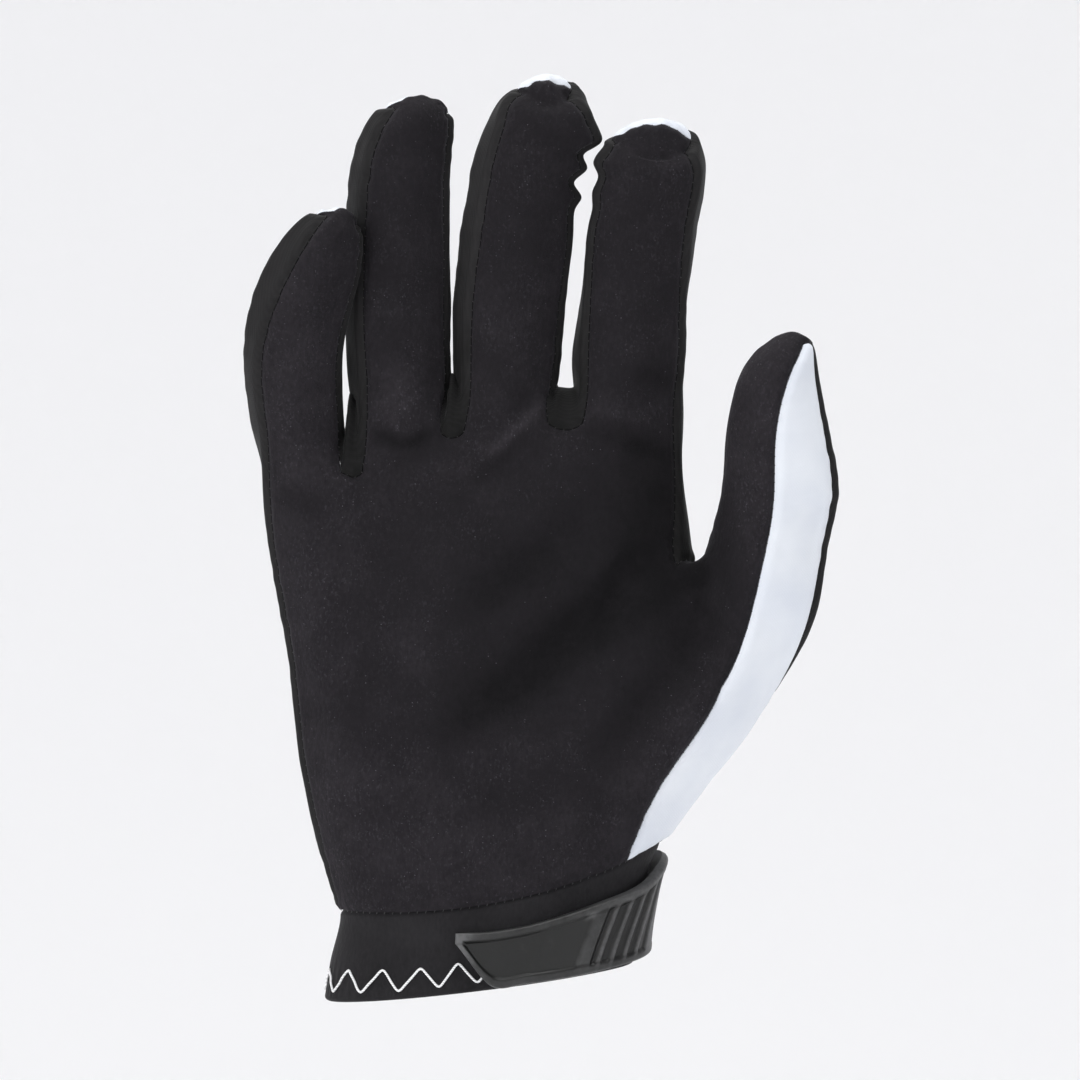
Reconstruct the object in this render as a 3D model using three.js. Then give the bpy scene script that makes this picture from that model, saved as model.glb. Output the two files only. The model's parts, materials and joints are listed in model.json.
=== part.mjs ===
// A right-hand motocross glove, filled as if it were worn: the palm faces -Y, the fingers point up
// along +Z and the thumb is towards +X. The origin is the middle of the wrist opening.
// The glove's skin is one cage of quads, made from a few sections of the palm, the fingers and the
// thumb. The cage is smoothed and cut along the seams, and each panel gets its own wall.
import * as THREE from "three";

// Cloth and seams, in millimetres like every length here
const PANEL_WALL = 1.2;
const CUFF_WALL = 2;
const SEAM_GAP = 0.3;

// Wrist and cuff
const CUFF_WIDTH = 76;
const CUFF_DEPTH = 43;
const CUFF_HEIGHT = 21.5;
const CUFF_HEM_TILT = 9;
const CUFF_SEAM_RISE = 15;
const WRIST_STEP = 0.8;

// Palm
const PALM_HEIGHT = 116;
const PALM_DEPTH = 36;
const KNUCKLE_LEFT = -54.5;

// Thumb
const THUMB_LENGTH = 77.4;
const THUMB_WIDTH = 26;
const THUMB_DEPTH = 22;

// Closure tab
const TAB_LENGTH = 82;
const TAB_HEIGHT = 24;
const TAB_THICKNESS = 2.2;
const TAB_RECESS = 0.8;
const TAB_RIM = 1.8;
const TAB_RIBS = 4;
const TAB_SLANT = 6.5;
const PAD_THICKNESS = 0.9;
const TAB_CLEARANCE = 0.45;
const PAD_MARGIN = 4.5;

// Smoothing
const FIT_ROUNDS = 14;
const CUFF_STEPS = 40;
const CUFF_ROWS = 3;

const DEGREE = Math.PI / 180;

// The four fingers from the ulnar side. A finger's width and depth are those at its base, and gap is
// the web on its thumb side. crotch and crest are the heights of the front seam and of the web
// between it and the next finger, as shares of the palm's height. Along the rows, up and bow are
// shares of the finger's length, side and wide of its width, and deep of its depth. side moves the
// section's middle towards the thumb and bow towards the palm. tilt and turn are degrees: tilt leans
// the section, and turn moves the seams round the finger towards the thumb. The tip is where the
// seams meet, and over is how far it lies to the palm side, a share of the depth. gathers are the
// puckers of one edge (1 towards the thumb), between two places along the finger.
const FINGERS = [
  {
    name: "pinky",
    length: 63.2,
    width: 20.8,
    depth: 17,
    base: 0.9,
    crotch: 0.905,
    crest: 1.06,
    gap: 1.6,
    gathers: null,
    tip: { side: 0.48, bow: 0.2, over: 0 },
    rows: [
      { up: 0.15, side: -0.06, wide: 1.02, deep: 1.08, bow: 0.02, tilt: 0, turn: 10 },
      { up: 0.3, side: -0.115, wide: 1.06, deep: 1, bow: 0.05, tilt: 0, turn: 13 },
      { up: 0.46, side: -0.125, wide: 1.085, deep: 1, bow: 0.09, tilt: 1, turn: 18 },
      { up: 0.61, side: -0.05, wide: 1.08, deep: 0.97, bow: 0.13, tilt: 7, turn: 26 },
      { up: 0.76, side: 0.11, wide: 1.01, deep: 0.92, bow: 0.17, tilt: 15, turn: 32 },
      { up: 0.89, side: 0.285, wide: 0.8, deep: 0.78, bow: 0.195, tilt: 18, turn: 34 },
      { up: 0.96, side: 0.38, wide: 0.52, deep: 0.52, bow: 0.2, tilt: 16, turn: 34 },
    ],
  },
  {
    name: "ring",
    length: 82,
    width: 22.6,
    depth: 18.5,
    base: 0.975,
    crotch: 0.985,
    crest: 1.1,
    gap: 1.6,
    gathers: null,
    tip: { side: 0.25, bow: 0.05, over: 0 },
    rows: [
      { up: 0.13, side: -0.02, wide: 1.03, deep: 1.08, bow: 0, tilt: 0, turn: 14 },
      { up: 0.28, side: -0.045, wide: 1.065, deep: 1, bow: 0, tilt: 0, turn: 15 },
      { up: 0.44, side: -0.05, wide: 1.07, deep: 1, bow: 0.005, tilt: 0, turn: 15 },
      { up: 0.6, side: -0.045, wide: 1.055, deep: 0.98, bow: 0.015, tilt: 0, turn: 16 },
      { up: 0.75, side: -0.03, wide: 1.01, deep: 0.95, bow: 0.03, tilt: 2, turn: 18 },
      { up: 0.87, side: 0.045, wide: 0.93, deep: 0.86, bow: 0.045, tilt: 5, turn: 20 },
      { up: 0.955, side: 0.15, wide: 0.7, deep: 0.64, bow: 0.05, tilt: 5, turn: 20 },
    ],
  },
  {
    name: "middle",
    length: 84,
    width: 24,
    depth: 19,
    base: 0.995,
    crotch: 1.005,
    crest: 1.08,
    gap: 4.1,
    gathers: { edge: 1, from: 0.63, to: 0.832, waves: 2.5, height: 2.2 },
    tip: { side: 0.37, bow: 0.055, over: 0.18 },
    rows: [
      { up: 0.14, side: 0, wide: 1.01, deep: 1.08, bow: 0, tilt: 0, turn: 12 },
      { up: 0.33, side: 0.03, wide: 1.07, deep: 1, bow: 0.003, tilt: 0, turn: 13 },
      { up: 0.53, side: 0.1, wide: 1.09, deep: 1, bow: 0.015, tilt: 2, turn: 16 },
      { up: 0.63, side: 0.14, wide: 1.045, deep: 0.98, bow: 0.025, tilt: 3, turn: 16 },
      { up: 0.75, side: 0.215, wide: 1.045, deep: 0.96, bow: 0.035, tilt: 4, turn: 16 },
      { up: 0.872, side: 0.37, wide: 1.07, deep: 0.9, bow: 0.045, tilt: 4, turn: 10 },
      { up: 0.94, side: 0.38, wide: 0.87, deep: 0.78, bow: 0.05, tilt: 2, turn: 4 },
      { up: 0.978, side: 0.38, wide: 0.56, deep: 0.54, bow: 0.055, tilt: 0, turn: 2 },
    ],
  },
  {
    name: "index",
    length: 71,
    width: 26.2,
    depth: 19,
    base: 1.02,
    crotch: 1.02,
    crest: 1.02,
    gap: 0,
    gathers: { edge: -1, from: 0.7, to: 0.925, waves: 2, height: 1 },
    tip: { side: 0.255, bow: 0.065, over: 0.18 },
    rows: [
      { up: 0.18, side: 0.01, wide: 1.01, deep: 1.06, bow: 0, tilt: 0, turn: 8 },
      { up: 0.39, side: 0.055, wide: 0.99, deep: 1, bow: 0.003, tilt: 0, turn: 2 },
      { up: 0.6, side: 0.12, wide: 0.99, deep: 0.98, bow: 0.02, tilt: 2, turn: -4 },
      { up: 0.7, side: 0.17, wide: 0.98, deep: 0.96, bow: 0.035, tilt: 2, turn: -5 },
      { up: 0.8, side: 0.205, wide: 0.99, deep: 0.92, bow: 0.045, tilt: 1, turn: -5 },
      { up: 0.9, side: 0.205, wide: 0.955, deep: 0.84, bow: 0.06, tilt: 0, turn: -4 },
      { up: 0.955, side: 0.215, wide: 0.75, deep: 0.64, bow: 0.065, tilt: 0, turn: -4 },
    ],
  },
];

// The seams' angles round a finger, in degrees: a side strip reaches this far to either side of the
// finger's edge, before the row's turn is added.
const STRIP_HALF_ARC = 32;

// The palm's rows from the wrist up. rise is the share of the way from the wrist seam to the
// knuckles on the ulnar side and radial on the thumb side. The other columns are shares of the
// palm's width at the knuckles, from its ulnar edge at the knuckles: left is the ulnar edge, seam
// the end of the suede and right the edge on the thumb side. drop, a share of the palm's height,
// is how far that edge hangs below the suede's. front and back are shares of the palm's depth.
// The thumb grows from a hole in the palm's edge, whose rows are its bottom, middle and top.
const PALM_ROWS = [
  { rise: 0.19, radial: 0.27, left: 0.125, seam: 0.957, right: 1.055, drop: 0.02, front: 0.58, back: 0.56 },
  {
    rise: 0.38, radial: 0.46, left: 0.087, seam: 1.09, right: 1.215, drop: 0.02, front: 0.55,
    back: 0.5, hole: "bottom",
  },
  {
    rise: 0.57, radial: 0.57, left: 0.066, seam: 1.04, right: 1.1, drop: 0, front: 0.5,
    back: 0.47, hole: "middle",
  },
  {
    rise: 0.73, radial: 0.715, left: 0.037, seam: 0.99, right: 1.035, drop: 0, front: 0.44,
    back: 0.44, hole: "top",
  },
  { rise: 0.87, radial: 0.86, left: 0.015, seam: 0.985, right: 1.004, drop: 0, front: 0.375, back: 0.385 },
];
const ULNAR_SEAM_ANGLE = 10;
const RADIAL_SEAM_ANGLE = 40;

// Depth of the palm at the knuckles, as shares of its depth
const KNUCKLE_FRONT = 0.325;
const KNUCKLE_BACK = 0.335;

// How full the palm is between two knuckles, and how square its sections are
const KNUCKLE_GROOVE = 0.87;
const KNUCKLE_ROUNDNESS = 3;
const PALM_ROUNDNESS = 2.6;
const ULNAR_INSET = 0.008;

// The soft folds across the palm, from the thumb side down: the places of both ends and the fold's
// half width as shares of the palm's width and height at the knuckles, and its depth of the palm's
const PALM_FOLDS = [
  { fromX: 0.8, fromZ: 0.93, toX: 0.42, toZ: 0.66, width: 0.05, depth: 0.035 },
  { fromX: 0.95, fromZ: 0.82, toX: 0.52, toZ: 0.47, width: 0.055, depth: 0.05 },
  { fromX: 1.04, fromZ: 0.67, toX: 0.74, toZ: 0.35, width: 0.05, depth: 0.045 },
];

// The thumb's base from the palm's thumb edge at the crotch, as shares of the thumb's own sizes,
// with its sections. Their tilt leans the thumb side down.
const THUMB_BASE = { side: 0.425, drop: 0.285, bow: 0.04 };
const THUMB_TIP = { side: 0.575, bow: 0.15 };
const THUMB_ROWS = [
  { up: 0.227, side: 0.28, wide: 1.17, deep: 1.14, bow: 0.02, tilt: 36, seam: 92 },
  { up: 0.39, side: 0.39, wide: 1.03, deep: 1.02, bow: 0.045, tilt: 15, seam: 93 },
  { up: 0.518, side: 0.455, wide: 1.03, deep: 0.95, bow: 0.07, tilt: 6, seam: 96 },
  { up: 0.653, side: 0.44, wide: 0.955, deep: 0.88, bow: 0.1, tilt: 4, seam: 94 },
  { up: 0.787, side: 0.43, wide: 0.81, deep: 0.8, bow: 0.125, tilt: 0, seam: 84 },
  { up: 0.892, side: 0.46, wide: 0.66, deep: 0.68, bow: 0.14, tilt: -2, seam: 68 },
  { up: 0.96, side: 0.53, wide: 0.44, deep: 0.45, bow: 0.15, tilt: -2, seam: 50 },
];

// Where the thumb's lengthwise lines lie round it, in degrees from its outer edge over the front.
// The suede's seam has a column of its own above, and the front line is half way to it.
const THUMB_INNER = [192, 158];
const THUMB_OUTER = [13, -38, -88, -132];

// The cuff's sections from hem to seam: shares of its width to either side, and of its depth
const CUFF_SECTIONS = [
  { rise: 0, left: 0.52, right: 0.455, deep: 1 },
  { rise: 0.45, left: 0.495, right: 0.475, deep: 0.99 },
  { rise: 0.85, left: 0.472, right: 0.51, deep: 0.985 },
  { rise: 1, left: 0.468, right: 0.548, deep: 0.99 },
];
const CUFF_ROUNDNESS = 2.25;
const HEM_CURVE = 1.3;
const SEAM_CURVE = 2.6;

// The tab's outline from its tip: along is a share of its length, and top and bottom of its height
// above the hem
const TAB_OUTLINE = [
  { along: 0, top: 0.6, bottom: 0.5 },
  { along: 0.125, top: 0.58, bottom: 0.05 },
  { along: 0.25, top: 0.61, bottom: 0.03 },
  { along: 0.42, top: 0.72, bottom: 0.05 },
  { along: 0.55, top: 0.82, bottom: 0.09 },
  { along: 0.66, top: 1, bottom: 0.13 },
  { along: 0.8, top: 1.06, bottom: 0.17 },
  { along: 1, top: 0.95, bottom: 0.2 },
];
const TAB_TIP_X = -11;
const TAB_RIBS_FROM = 0.465;
const TAB_RIBS_TO = 0.65;
const TAB_FACET = 0.06;

// The pad under it, from and to the same shares of the tab's length
const PAD_FROM = 0.14;
const PAD_TO = 0.94;
const PAD_STEPS = 18;

// A table's column at a place, smoothly between its rows
function column(rows, place, at, name) {
  const last = rows.length - 1;
  let k = rows.findIndex((row) => row[place] >= at);
  if (k < 0) k = last;
  k = Math.max(1, k);
  const [before, from, to, after] = [k - 2, k - 1, k, k + 1].map(
    (n) => rows[THREE.MathUtils.clamp(n, 0, last)],
  );
  const span = to[place] - from[place];
  const share = THREE.MathUtils.clamp((at - from[place]) / span, 0, 1);
  const slope = (a, b) => (b === a ? 0 : ((b[name] - a[name]) * span) / (b[place] - a[place]));
  const [p, q] = [slope(before, to), slope(from, after)];
  const [s2, s3] = [share * share, share ** 3];
  return (
    from[name] * (2 * s3 - 3 * s2 + 1) +
    p * (s3 - 2 * s2 + share) +
    to[name] * (3 * s2 - 2 * s3) +
    q * (s3 - s2)
  );
}

// A superellipse's height at a share of its half width
function bulge(share, roundness) {
  return (1 - Math.min(1, Math.abs(share)) ** roundness) ** (1 / roundness);
}

// Heights of the cuff's hem and of the seam above it, for a place across the cuff
function hemHeight(x) {
  const share = THREE.MathUtils.clamp(x / CUFF_WIDTH + 0.5, 0, 1.1);
  return CUFF_HEM_TILT * (share ** HEM_CURVE - 0.5);
}
function seamHeight(x) {
  const share = THREE.MathUtils.clamp(x / CUFF_WIDTH + 0.5, 0, 1.1);
  return CUFF_HEIGHT - CUFF_HEM_TILT * 0.5 + CUFF_SEAM_RISE * share ** SEAM_CURVE;
}

// A point of the cuff's outer surface. angle runs from the thumb edge over the palm side, rise from
// the hem to the seam, and out is the distance off the surface.
function cuffPoint(angle, rise, out = 0) {
  const at = (turn, height) => {
    const [c, s] = [Math.cos(turn), -Math.sin(turn)];
    const reach = column(CUFF_SECTIONS, "rise", height, c > 0 ? "right" : "left") * CUFF_WIDTH;
    const depth = (column(CUFF_SECTIONS, "rise", height, "deep") * CUFF_DEPTH) / 2;
    const power = 2 / CUFF_ROUNDNESS;
    const x = Math.sign(c) * Math.abs(c) ** power * reach;
    const y = Math.sign(s) * Math.abs(s) ** power * depth;
    const z = hemHeight(x) + height * (seamHeight(x) - hemHeight(x));
    return new THREE.Vector3(x, y, z);
  };
  const here = at(angle, rise);
  if (out === 0) return here;
  const step = 0.02;
  const around = at(angle - step, rise).sub(at(angle + step, rise));
  const up = at(angle, Math.min(1, rise + step)).sub(at(angle, Math.max(0, rise - step)));
  return here.addScaledVector(around.cross(up).normalize(), out);
}

// The cage: its points are what the smooth skin passes through
class Cage {
  constructor() {
    this.targets = [];
    this.faces = [];
  }

  point(x, y, z) {
    return this.targets.push(new THREE.Vector3(x, y, z)) - 1;
  }

  quad(panel, ...corners) {
    this.faces.push({ corners, panel });
  }

  // The quads between two rings of points, one panel for each column
  band(lower, upper, panels) {
    lower.forEach((corner, k) => {
      const next = (k + 1) % lower.length;
      if (panels[k]) this.quad(panels[k], corner, lower[next], upper[next], upper[k]);
    });
  }

  // Four quads over the end of a ring of eight, from its first side over the front
  cap(ring, tip, front, back) {
    for (let k = 0; k < 8; k += 2) {
      this.quad(k < 4 ? front : back, tip, ring[k], ring[k + 1], ring[(k + 2) % 8]);
    }
  }
}

// A section of a finger: eight points round its middle, from the ulnar edge over the palm side
function fingerSection(finger, base, row, edgeShift) {
  const lean = row.tilt * DEGREE;
  const half = (row.wide * finger.width) / 2;
  const depth = (row.deep * finger.depth) / 2;
  const middle = new THREE.Vector3(
    base.x + row.side * finger.width,
    -row.bow * finger.length,
    base.z + row.up * finger.length,
  );
  const arc = STRIP_HALF_ARC;
  const turn = row.turn;
  const angles = [turn, arc + turn, 90 + turn / 2, 180 - arc + turn, 180 + turn];
  angles.push(180 + arc + turn, 270 + turn / 2, 360 - arc + turn);
  return angles.map((angle) => {
    const across = -Math.cos(angle * DEGREE) * half;
    const shift = edgeShift * Math.max(0, (across * (finger.gathers?.edge ?? 1)) / half) ** 2;
    const reach = across + shift * (finger.gathers?.edge ?? 1);
    return [
      middle.x + reach * Math.cos(lean),
      middle.y - Math.sin(angle * DEGREE) * depth,
      middle.z - reach * Math.sin(lean),
    ];
  });
}

// A finger's rows with those that its gathers add, each with the shift of the gathered edge
function fingerRows(finger) {
  const names = ["side", "wide", "deep", "bow", "tilt", "turn"];
  const sample = (up, shift) => {
    const row = { up, shift };
    names.forEach((name) => (row[name] = column(finger.rows, "up", up, name)));
    return row;
  };
  const gathers = finger.gathers;
  if (!gathers) return finger.rows.map((row) => sample(row.up, 0));
  const inside = (up) => up > gathers.from - 1e-6 && up < gathers.to + 1e-6;
  const rows = finger.rows.filter((row) => !inside(row.up)).map((row) => sample(row.up, 0));
  const pitch = (gathers.to - gathers.from) / gathers.waves;
  for (let k = 0; k <= 2 * gathers.waves; k++) {
    const crest = k % 2 === 1;
    const shift = crest ? gathers.height / 2 : -gathers.height / 2;
    rows.push(sample(gathers.from + (k * pitch) / 2, k === 0 ? 0 : shift));
  }
  return rows.sort((a, b) => a.up - b.up);
}

const palmWidth = FINGERS.reduce((sum, finger) => sum + finger.width + finger.gap, 0);

// A height above the wrist seam, as a share of the palm's height
function height(share) {
  return CUFF_HEIGHT - CUFF_HEM_TILT * 0.5 + share * PALM_HEIGHT;
}

function buildCage() {
  const cage = new Cage();

  // The fingers' bases, side by side
  let left = KNUCKLE_LEFT;
  const bases = FINGERS.map((finger) => {
    const base = { x: left + finger.width / 2, z: height(finger.base) };
    left += finger.width + finger.gap;
    return base;
  });
  const radialEdge = KNUCKLE_LEFT + palmWidth;

  // The knuckle row: three points in front and behind for each finger, and the two edges
  const spread = Math.cos(STRIP_HALF_ARC * DEGREE);
  const heights = FINGERS.map((finger, k) => [
    height(k === 0 ? finger.base : FINGERS[k - 1].crotch),
    height(finger.base),
    height(finger.crotch),
  ]);
  const columns = FINGERS.flatMap((finger, k) =>
    [-spread, 0, spread].map((share, n) => ({
      x: bases[k].x + (share * finger.width) / 2,
      z: heights[k][n],
      fill: n === 1 ? 1 : KNUCKLE_GROOVE,
    })),
  );
  const knuckle = (side) =>
    columns.map(({ x, z, fill }) => {
      const share = (2 * (x - KNUCKLE_LEFT)) / palmWidth - 1;
      return cage.point(x, side * PALM_DEPTH * fill * bulge(share, KNUCKLE_ROUNDNESS), z);
    });
  const knuckles = {
    ulnar: cage.point(KNUCKLE_LEFT, 0, height(FINGERS[0].base)),
    front: knuckle(-KNUCKLE_FRONT),
    radial: cage.point(radialEdge, 0, height(FINGERS[3].base)),
    back: knuckle(KNUCKLE_BACK),
  };

  // The palm's rows: the wrist seam, then the table's rows
  const shares = columns.map(({ x }) => (x - columns[0].x) / (columns[11].x - columns[0].x));
  const wristFrom = Math.PI - ULNAR_SEAM_ANGLE * DEGREE;
  const wristTo = RADIAL_SEAM_ANGLE * DEGREE;
  const rings = [];
  const wrist = { front: [], back: [] };
  shares.forEach((share, k) => {
    const even = (share + k / (shares.length - 1)) / 2;
    const place = cuffPoint(wristFrom + even * (wristTo - wristFrom), 1, WRIST_STEP);
    wrist.front.push(cage.point(place.x, place.y, place.z));
    wrist.back.push(cage.point(place.x, -place.y, place.z));
  });
  const ulnarWrist = cuffPoint(Math.PI, 1, WRIST_STEP);
  const radialWrist = cuffPoint(0, 1, WRIST_STEP);
  rings.push({
    ulnar: cage.point(ulnarWrist.x, 0, ulnarWrist.z),
    front: wrist.front,
    radial: cage.point(radialWrist.x, 0, radialWrist.z),
    back: wrist.back,
  });
  PALM_ROWS.forEach((row) => {
    const edge = (share) => KNUCKLE_LEFT + share * palmWidth;
    const [from, to, end] = [edge(row.left), edge(row.seam), edge(row.right)];
    const low = seamHeight(from) + row.rise * (height(FINGERS[0].base) - seamHeight(from));
    const high = height(row.radial);
    const inset = ULNAR_INSET * palmWidth;
    const width = end - from;
    const full = (x) => bulge((2 * (x - from)) / width - 1, PALM_ROUNDNESS);
    const places = shares.map((share) => {
      const x = from + inset + share * (to - from - inset);
      return { x, z: low + (high - low) * share ** 2, fill: full(x) };
    });
    rings.push({
      ulnar: cage.point(from, 0, low),
      front: places.map((p) => cage.point(p.x, -row.front * PALM_DEPTH * p.fill, p.z)),
      radial: row.hole === "middle" ? null : cage.point(end, 0, high - row.drop * PALM_HEIGHT),
      back: places.map((p) => cage.point(p.x, row.back * PALM_DEPTH * p.fill, p.z)),
    });
  });
  rings.push(knuckles);

  // The palm's quads, apart from the hole that the thumb grows from
  const loop = (ring) => [ring.ulnar, ...ring.front, ring.radial, ...[...ring.back].reverse()];
  const hole = ["bottom", "middle", "top"].map(
    (name) => rings[1 + PALM_ROWS.findIndex((row) => row.hole === name)],
  );
  rings.slice(1).forEach((upper, k) => {
    const lower = rings[k];
    const above = rings.indexOf(hole[2]) <= k;
    const sidePanel = above ? "index_side_strip" : "thumb_side_panel";
    const side = lower === hole[0] || lower === hole[1] ? null : sidePanel;
    const panels = ["pinky_side_strip"];
    panels.push(...Array(11).fill("palm_panel"), side, side);
    panels.push(...Array(11).fill("back_panel"), "pinky_side_strip");
    cage.band(loop(lower), loop(upper), panels);
  });

  // The webs between the fingers, two quads each
  const webs = FINGERS.slice(0, 3).map((finger, k) => {
    const ulnar = bases[k].x + finger.width / 2;
    const crest = height(finger.crest);
    const panel = `fourchette_${finger.name}_${FINGERS[k + 1].name}`;
    const a = cage.point(ulnar, 0, crest);
    const b = cage.point(ulnar + finger.gap, 0, crest);
    const [right, next] = [3 * k + 2, 3 * k + 3];
    cage.quad(panel, knuckles.front[right], knuckles.front[next], b, a);
    cage.quad(panel, a, b, knuckles.back[next], knuckles.back[right]);
    return { a, b, panel };
  });

  // The fingers, each from its loop on the knuckles to its tip
  FINGERS.forEach((finger, k) => {
    const [l, m, r] = [3 * k, 3 * k + 1, 3 * k + 2];
    const { front, back } = knuckles;
    const ulnar = k === 0 ? knuckles.ulnar : webs[k - 1].b;
    const radial = k === 3 ? knuckles.radial : webs[k].a;
    let ring = [ulnar, front[l], front[m], front[r], radial, back[r], back[m], back[l]];
    const near = k === 0 ? "pinky_side_strip" : webs[k - 1].panel;
    const far = k === 3 ? "index_side_strip" : webs[k].panel;
    const panels = [near, "palm_panel", "palm_panel", far, far, "back_panel", "back_panel", near];
    fingerRows(finger).forEach((row) => {
      const next = fingerSection(finger, bases[k], row, row.shift).map((p) => cage.point(...p));
      cage.band(ring, next, panels);
      ring = next;
    });
    const tip = cage.point(
      bases[k].x + finger.tip.side * finger.width,
      -finger.tip.bow * finger.length - finger.tip.over * finger.depth,
      bases[k].z + finger.length,
    );
    cage.cap(ring, tip, "palm_panel", "back_panel");
  });

  // The thumb, from the loop round the hole
  const [low, mid, top] = hole;
  const root = { x: radialEdge, z: height(PALM_ROWS.find((row) => row.hole === "top").radial) };
  const base = {
    x: root.x + THUMB_BASE.side * THUMB_WIDTH,
    y: -THUMB_BASE.bow * THUMB_LENGTH,
    z: root.z - THUMB_BASE.drop * THUMB_LENGTH,
  };
  let ring = [top.radial, top.front[11], mid.front[11], low.front[11]];
  ring.push(low.radial, low.back[11], mid.back[11], top.back[11]);
  const [suede, white, black] = ["palm_panel", "thumb_side_panel", "thumb_back_panel"];
  const panels = [suede, suede, suede, white, black, black, black, black];
  THUMB_ROWS.forEach((row) => {
    const lean = row.tilt * DEGREE;
    const front = (THUMB_INNER[1] + row.seam) / 2;
    const angles = [...THUMB_INNER, front, row.seam, ...THUMB_OUTER];
    const next = angles.map((angle) => {
      const across = (Math.cos(angle * DEGREE) * row.wide * THUMB_WIDTH) / 2;
      const deep = (Math.sin(angle * DEGREE) * row.deep * THUMB_DEPTH) / 2;
      return cage.point(
        base.x + row.side * THUMB_WIDTH + across * Math.cos(lean),
        base.y - row.bow * THUMB_LENGTH - deep,
        base.z + row.up * THUMB_LENGTH - across * Math.sin(lean),
      );
    });
    cage.band(ring, next, panels);
    ring = next;
  });
  const tip = cage.point(
    base.x + THUMB_TIP.side * THUMB_WIDTH,
    base.y - THUMB_TIP.bow * THUMB_LENGTH,
    base.z + THUMB_LENGTH,
  );
  cage.cap(ring, tip, suede, black);
  return cage;
}

// Who is next to whom in a mesh of quads: each point's neighbours along edges, its diagonal
// neighbours and, on the open edge at the wrist, its two neighbours along that edge
function neighbours(count, faces) {
  const around = Array.from({ length: count }, () => ({
    edges: new Set(),
    diagonals: [],
    rim: [],
  }));
  const uses = new Map();
  faces.forEach(({ corners }) =>
    corners.forEach((corner, k) => {
      const next = corners[(k + 1) % 4];
      around[corner].edges.add(next);
      around[next].edges.add(corner);
      around[corner].diagonals.push(corners[(k + 2) % 4]);
      const key = corner < next ? `${corner}/${next}` : `${next}/${corner}`;
      uses.set(key, (uses.get(key) ?? 0) + 1);
    }),
  );
  uses.forEach((times, key) => {
    if (times > 1) return;
    const [a, b] = key.split("/").map(Number);
    around[a].rim.push(b);
    around[b].rim.push(a);
  });
  return around;
}

// Where each point of a mesh of quads comes to lie on the smooth surface
function limits(points, around) {
  const sum = (list) =>
    [...list].reduce((total, k) => total.add(points[k]), new THREE.Vector3());
  return points.map((point, k) => {
    const { edges, diagonals, rim } = around[k];
    if (rim.length) return sum(rim).addScaledVector(point, 4).divideScalar(6);
    const n = edges.size;
    return sum(edges)
      .multiplyScalar(4)
      .add(sum(diagonals))
      .addScaledVector(point, n * n)
      .divideScalar(n * (n + 5));
  });
}

// Control points whose smooth surface passes through the cage's targets
function fitted(cage) {
  const around = neighbours(cage.targets.length, cage.faces);
  const points = cage.targets.map((p) => p.clone());
  for (let round = 0; round < FIT_ROUNDS; round++) {
    limits(points, around).forEach((limit, k) => {
      points[k].add(cage.targets[k]).sub(limit);
    });
  }
  return points;
}

// One step of Catmull-Clark subdivision
function subdivided(points, faces) {
  const around = neighbours(points.length, faces);
  const made = points.map(() => new THREE.Vector3());
  const sums = points.map(() => ({ faces: new THREE.Vector3(), count: 0 }));
  const centres = faces.map(({ corners }) => {
    const centre = new THREE.Vector3();
    corners.forEach((corner) => centre.addScaledVector(points[corner], 0.25));
    corners.forEach((corner) => {
      sums[corner].faces.add(centre);
      sums[corner].count++;
    });
    return made.push(centre) - 1;
  });
  const edges = new Map();
  faces.forEach(({ corners }, f) =>
    corners.forEach((corner, k) => {
      const next = corners[(k + 1) % 4];
      const key = corner < next ? `${corner}/${next}` : `${next}/${corner}`;
      const edge = edges.get(key) ?? { ends: [corner, next], faces: [] };
      edge.faces.push(centres[f]);
      edges.set(key, edge);
    }),
  );
  edges.forEach((edge) => {
    const middle = new THREE.Vector3();
    edge.ends.forEach((end) => middle.addScaledVector(points[end], 0.5));
    if (edge.faces.length === 2) {
      middle.multiplyScalar(0.5);
      edge.faces.forEach((face) => middle.addScaledVector(made[face], 0.25));
    }
    edge.point = made.push(middle) - 1;
  });
  points.forEach((point, k) => {
    const { edges: ends, rim } = around[k];
    if (rim.length) {
      made[k].addScaledVector(point, 0.75);
      rim.forEach((end) => made[k].addScaledVector(points[end], 0.125));
      return;
    }
    const n = ends.size;
    ends.forEach((end) => made[k].addScaledVector(points[end], 1 / (n * n)));
    made[k].addScaledVector(sums[k].faces, 1 / (n * n));
    made[k].addScaledVector(point, (n - 2) / n);
  });
  const smaller = faces.flatMap(({ corners, panel }, f) =>
    corners.map((corner, k) => {
      const [next, before] = [corners[(k + 1) % 4], corners[(k + 3) % 4]];
      const edge = (a, b) => edges.get(a < b ? `${a}/${b}` : `${b}/${a}`).point;
      return {
        corners: [corner, edge(corner, next), centres[f], edge(before, corner)],
        panel,
      };
    }),
  );
  return { points: made, faces: smaller };
}

// How deep the palm's folds are at a point of the palm side
function foldDepth(point) {
  return PALM_FOLDS.reduce((depth, fold) => {
    const from = new THREE.Vector2(KNUCKLE_LEFT + fold.fromX * palmWidth, height(fold.fromZ));
    const to = new THREE.Vector2(KNUCKLE_LEFT + fold.toX * palmWidth, height(fold.toZ));
    const along = to.clone().sub(from);
    const off = new THREE.Vector2(point.x, point.z).sub(from);
    const share = THREE.MathUtils.clamp(off.dot(along) / along.lengthSq(), 0, 1);
    const away = off.addScaledVector(along, -share).length() / (fold.width * palmWidth);
    const fade = Math.sqrt(Math.sin(Math.PI * share));
    return depth + fold.depth * PALM_DEPTH * Math.exp(-(away ** 2)) * fade;
  }, 0);
}

// Each point's direction outwards
function outwards(points, faces) {
  const normals = points.map(() => new THREE.Vector3());
  faces.forEach(({ corners }) => {
    const [a, b, c, d] = corners.map((corner) => points[corner]);
    const normal = c.clone().sub(a).cross(d.clone().sub(b));
    corners.forEach((corner) => normals[corner].add(normal));
  });
  return normals.map((normal) => normal.normalize());
}

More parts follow.
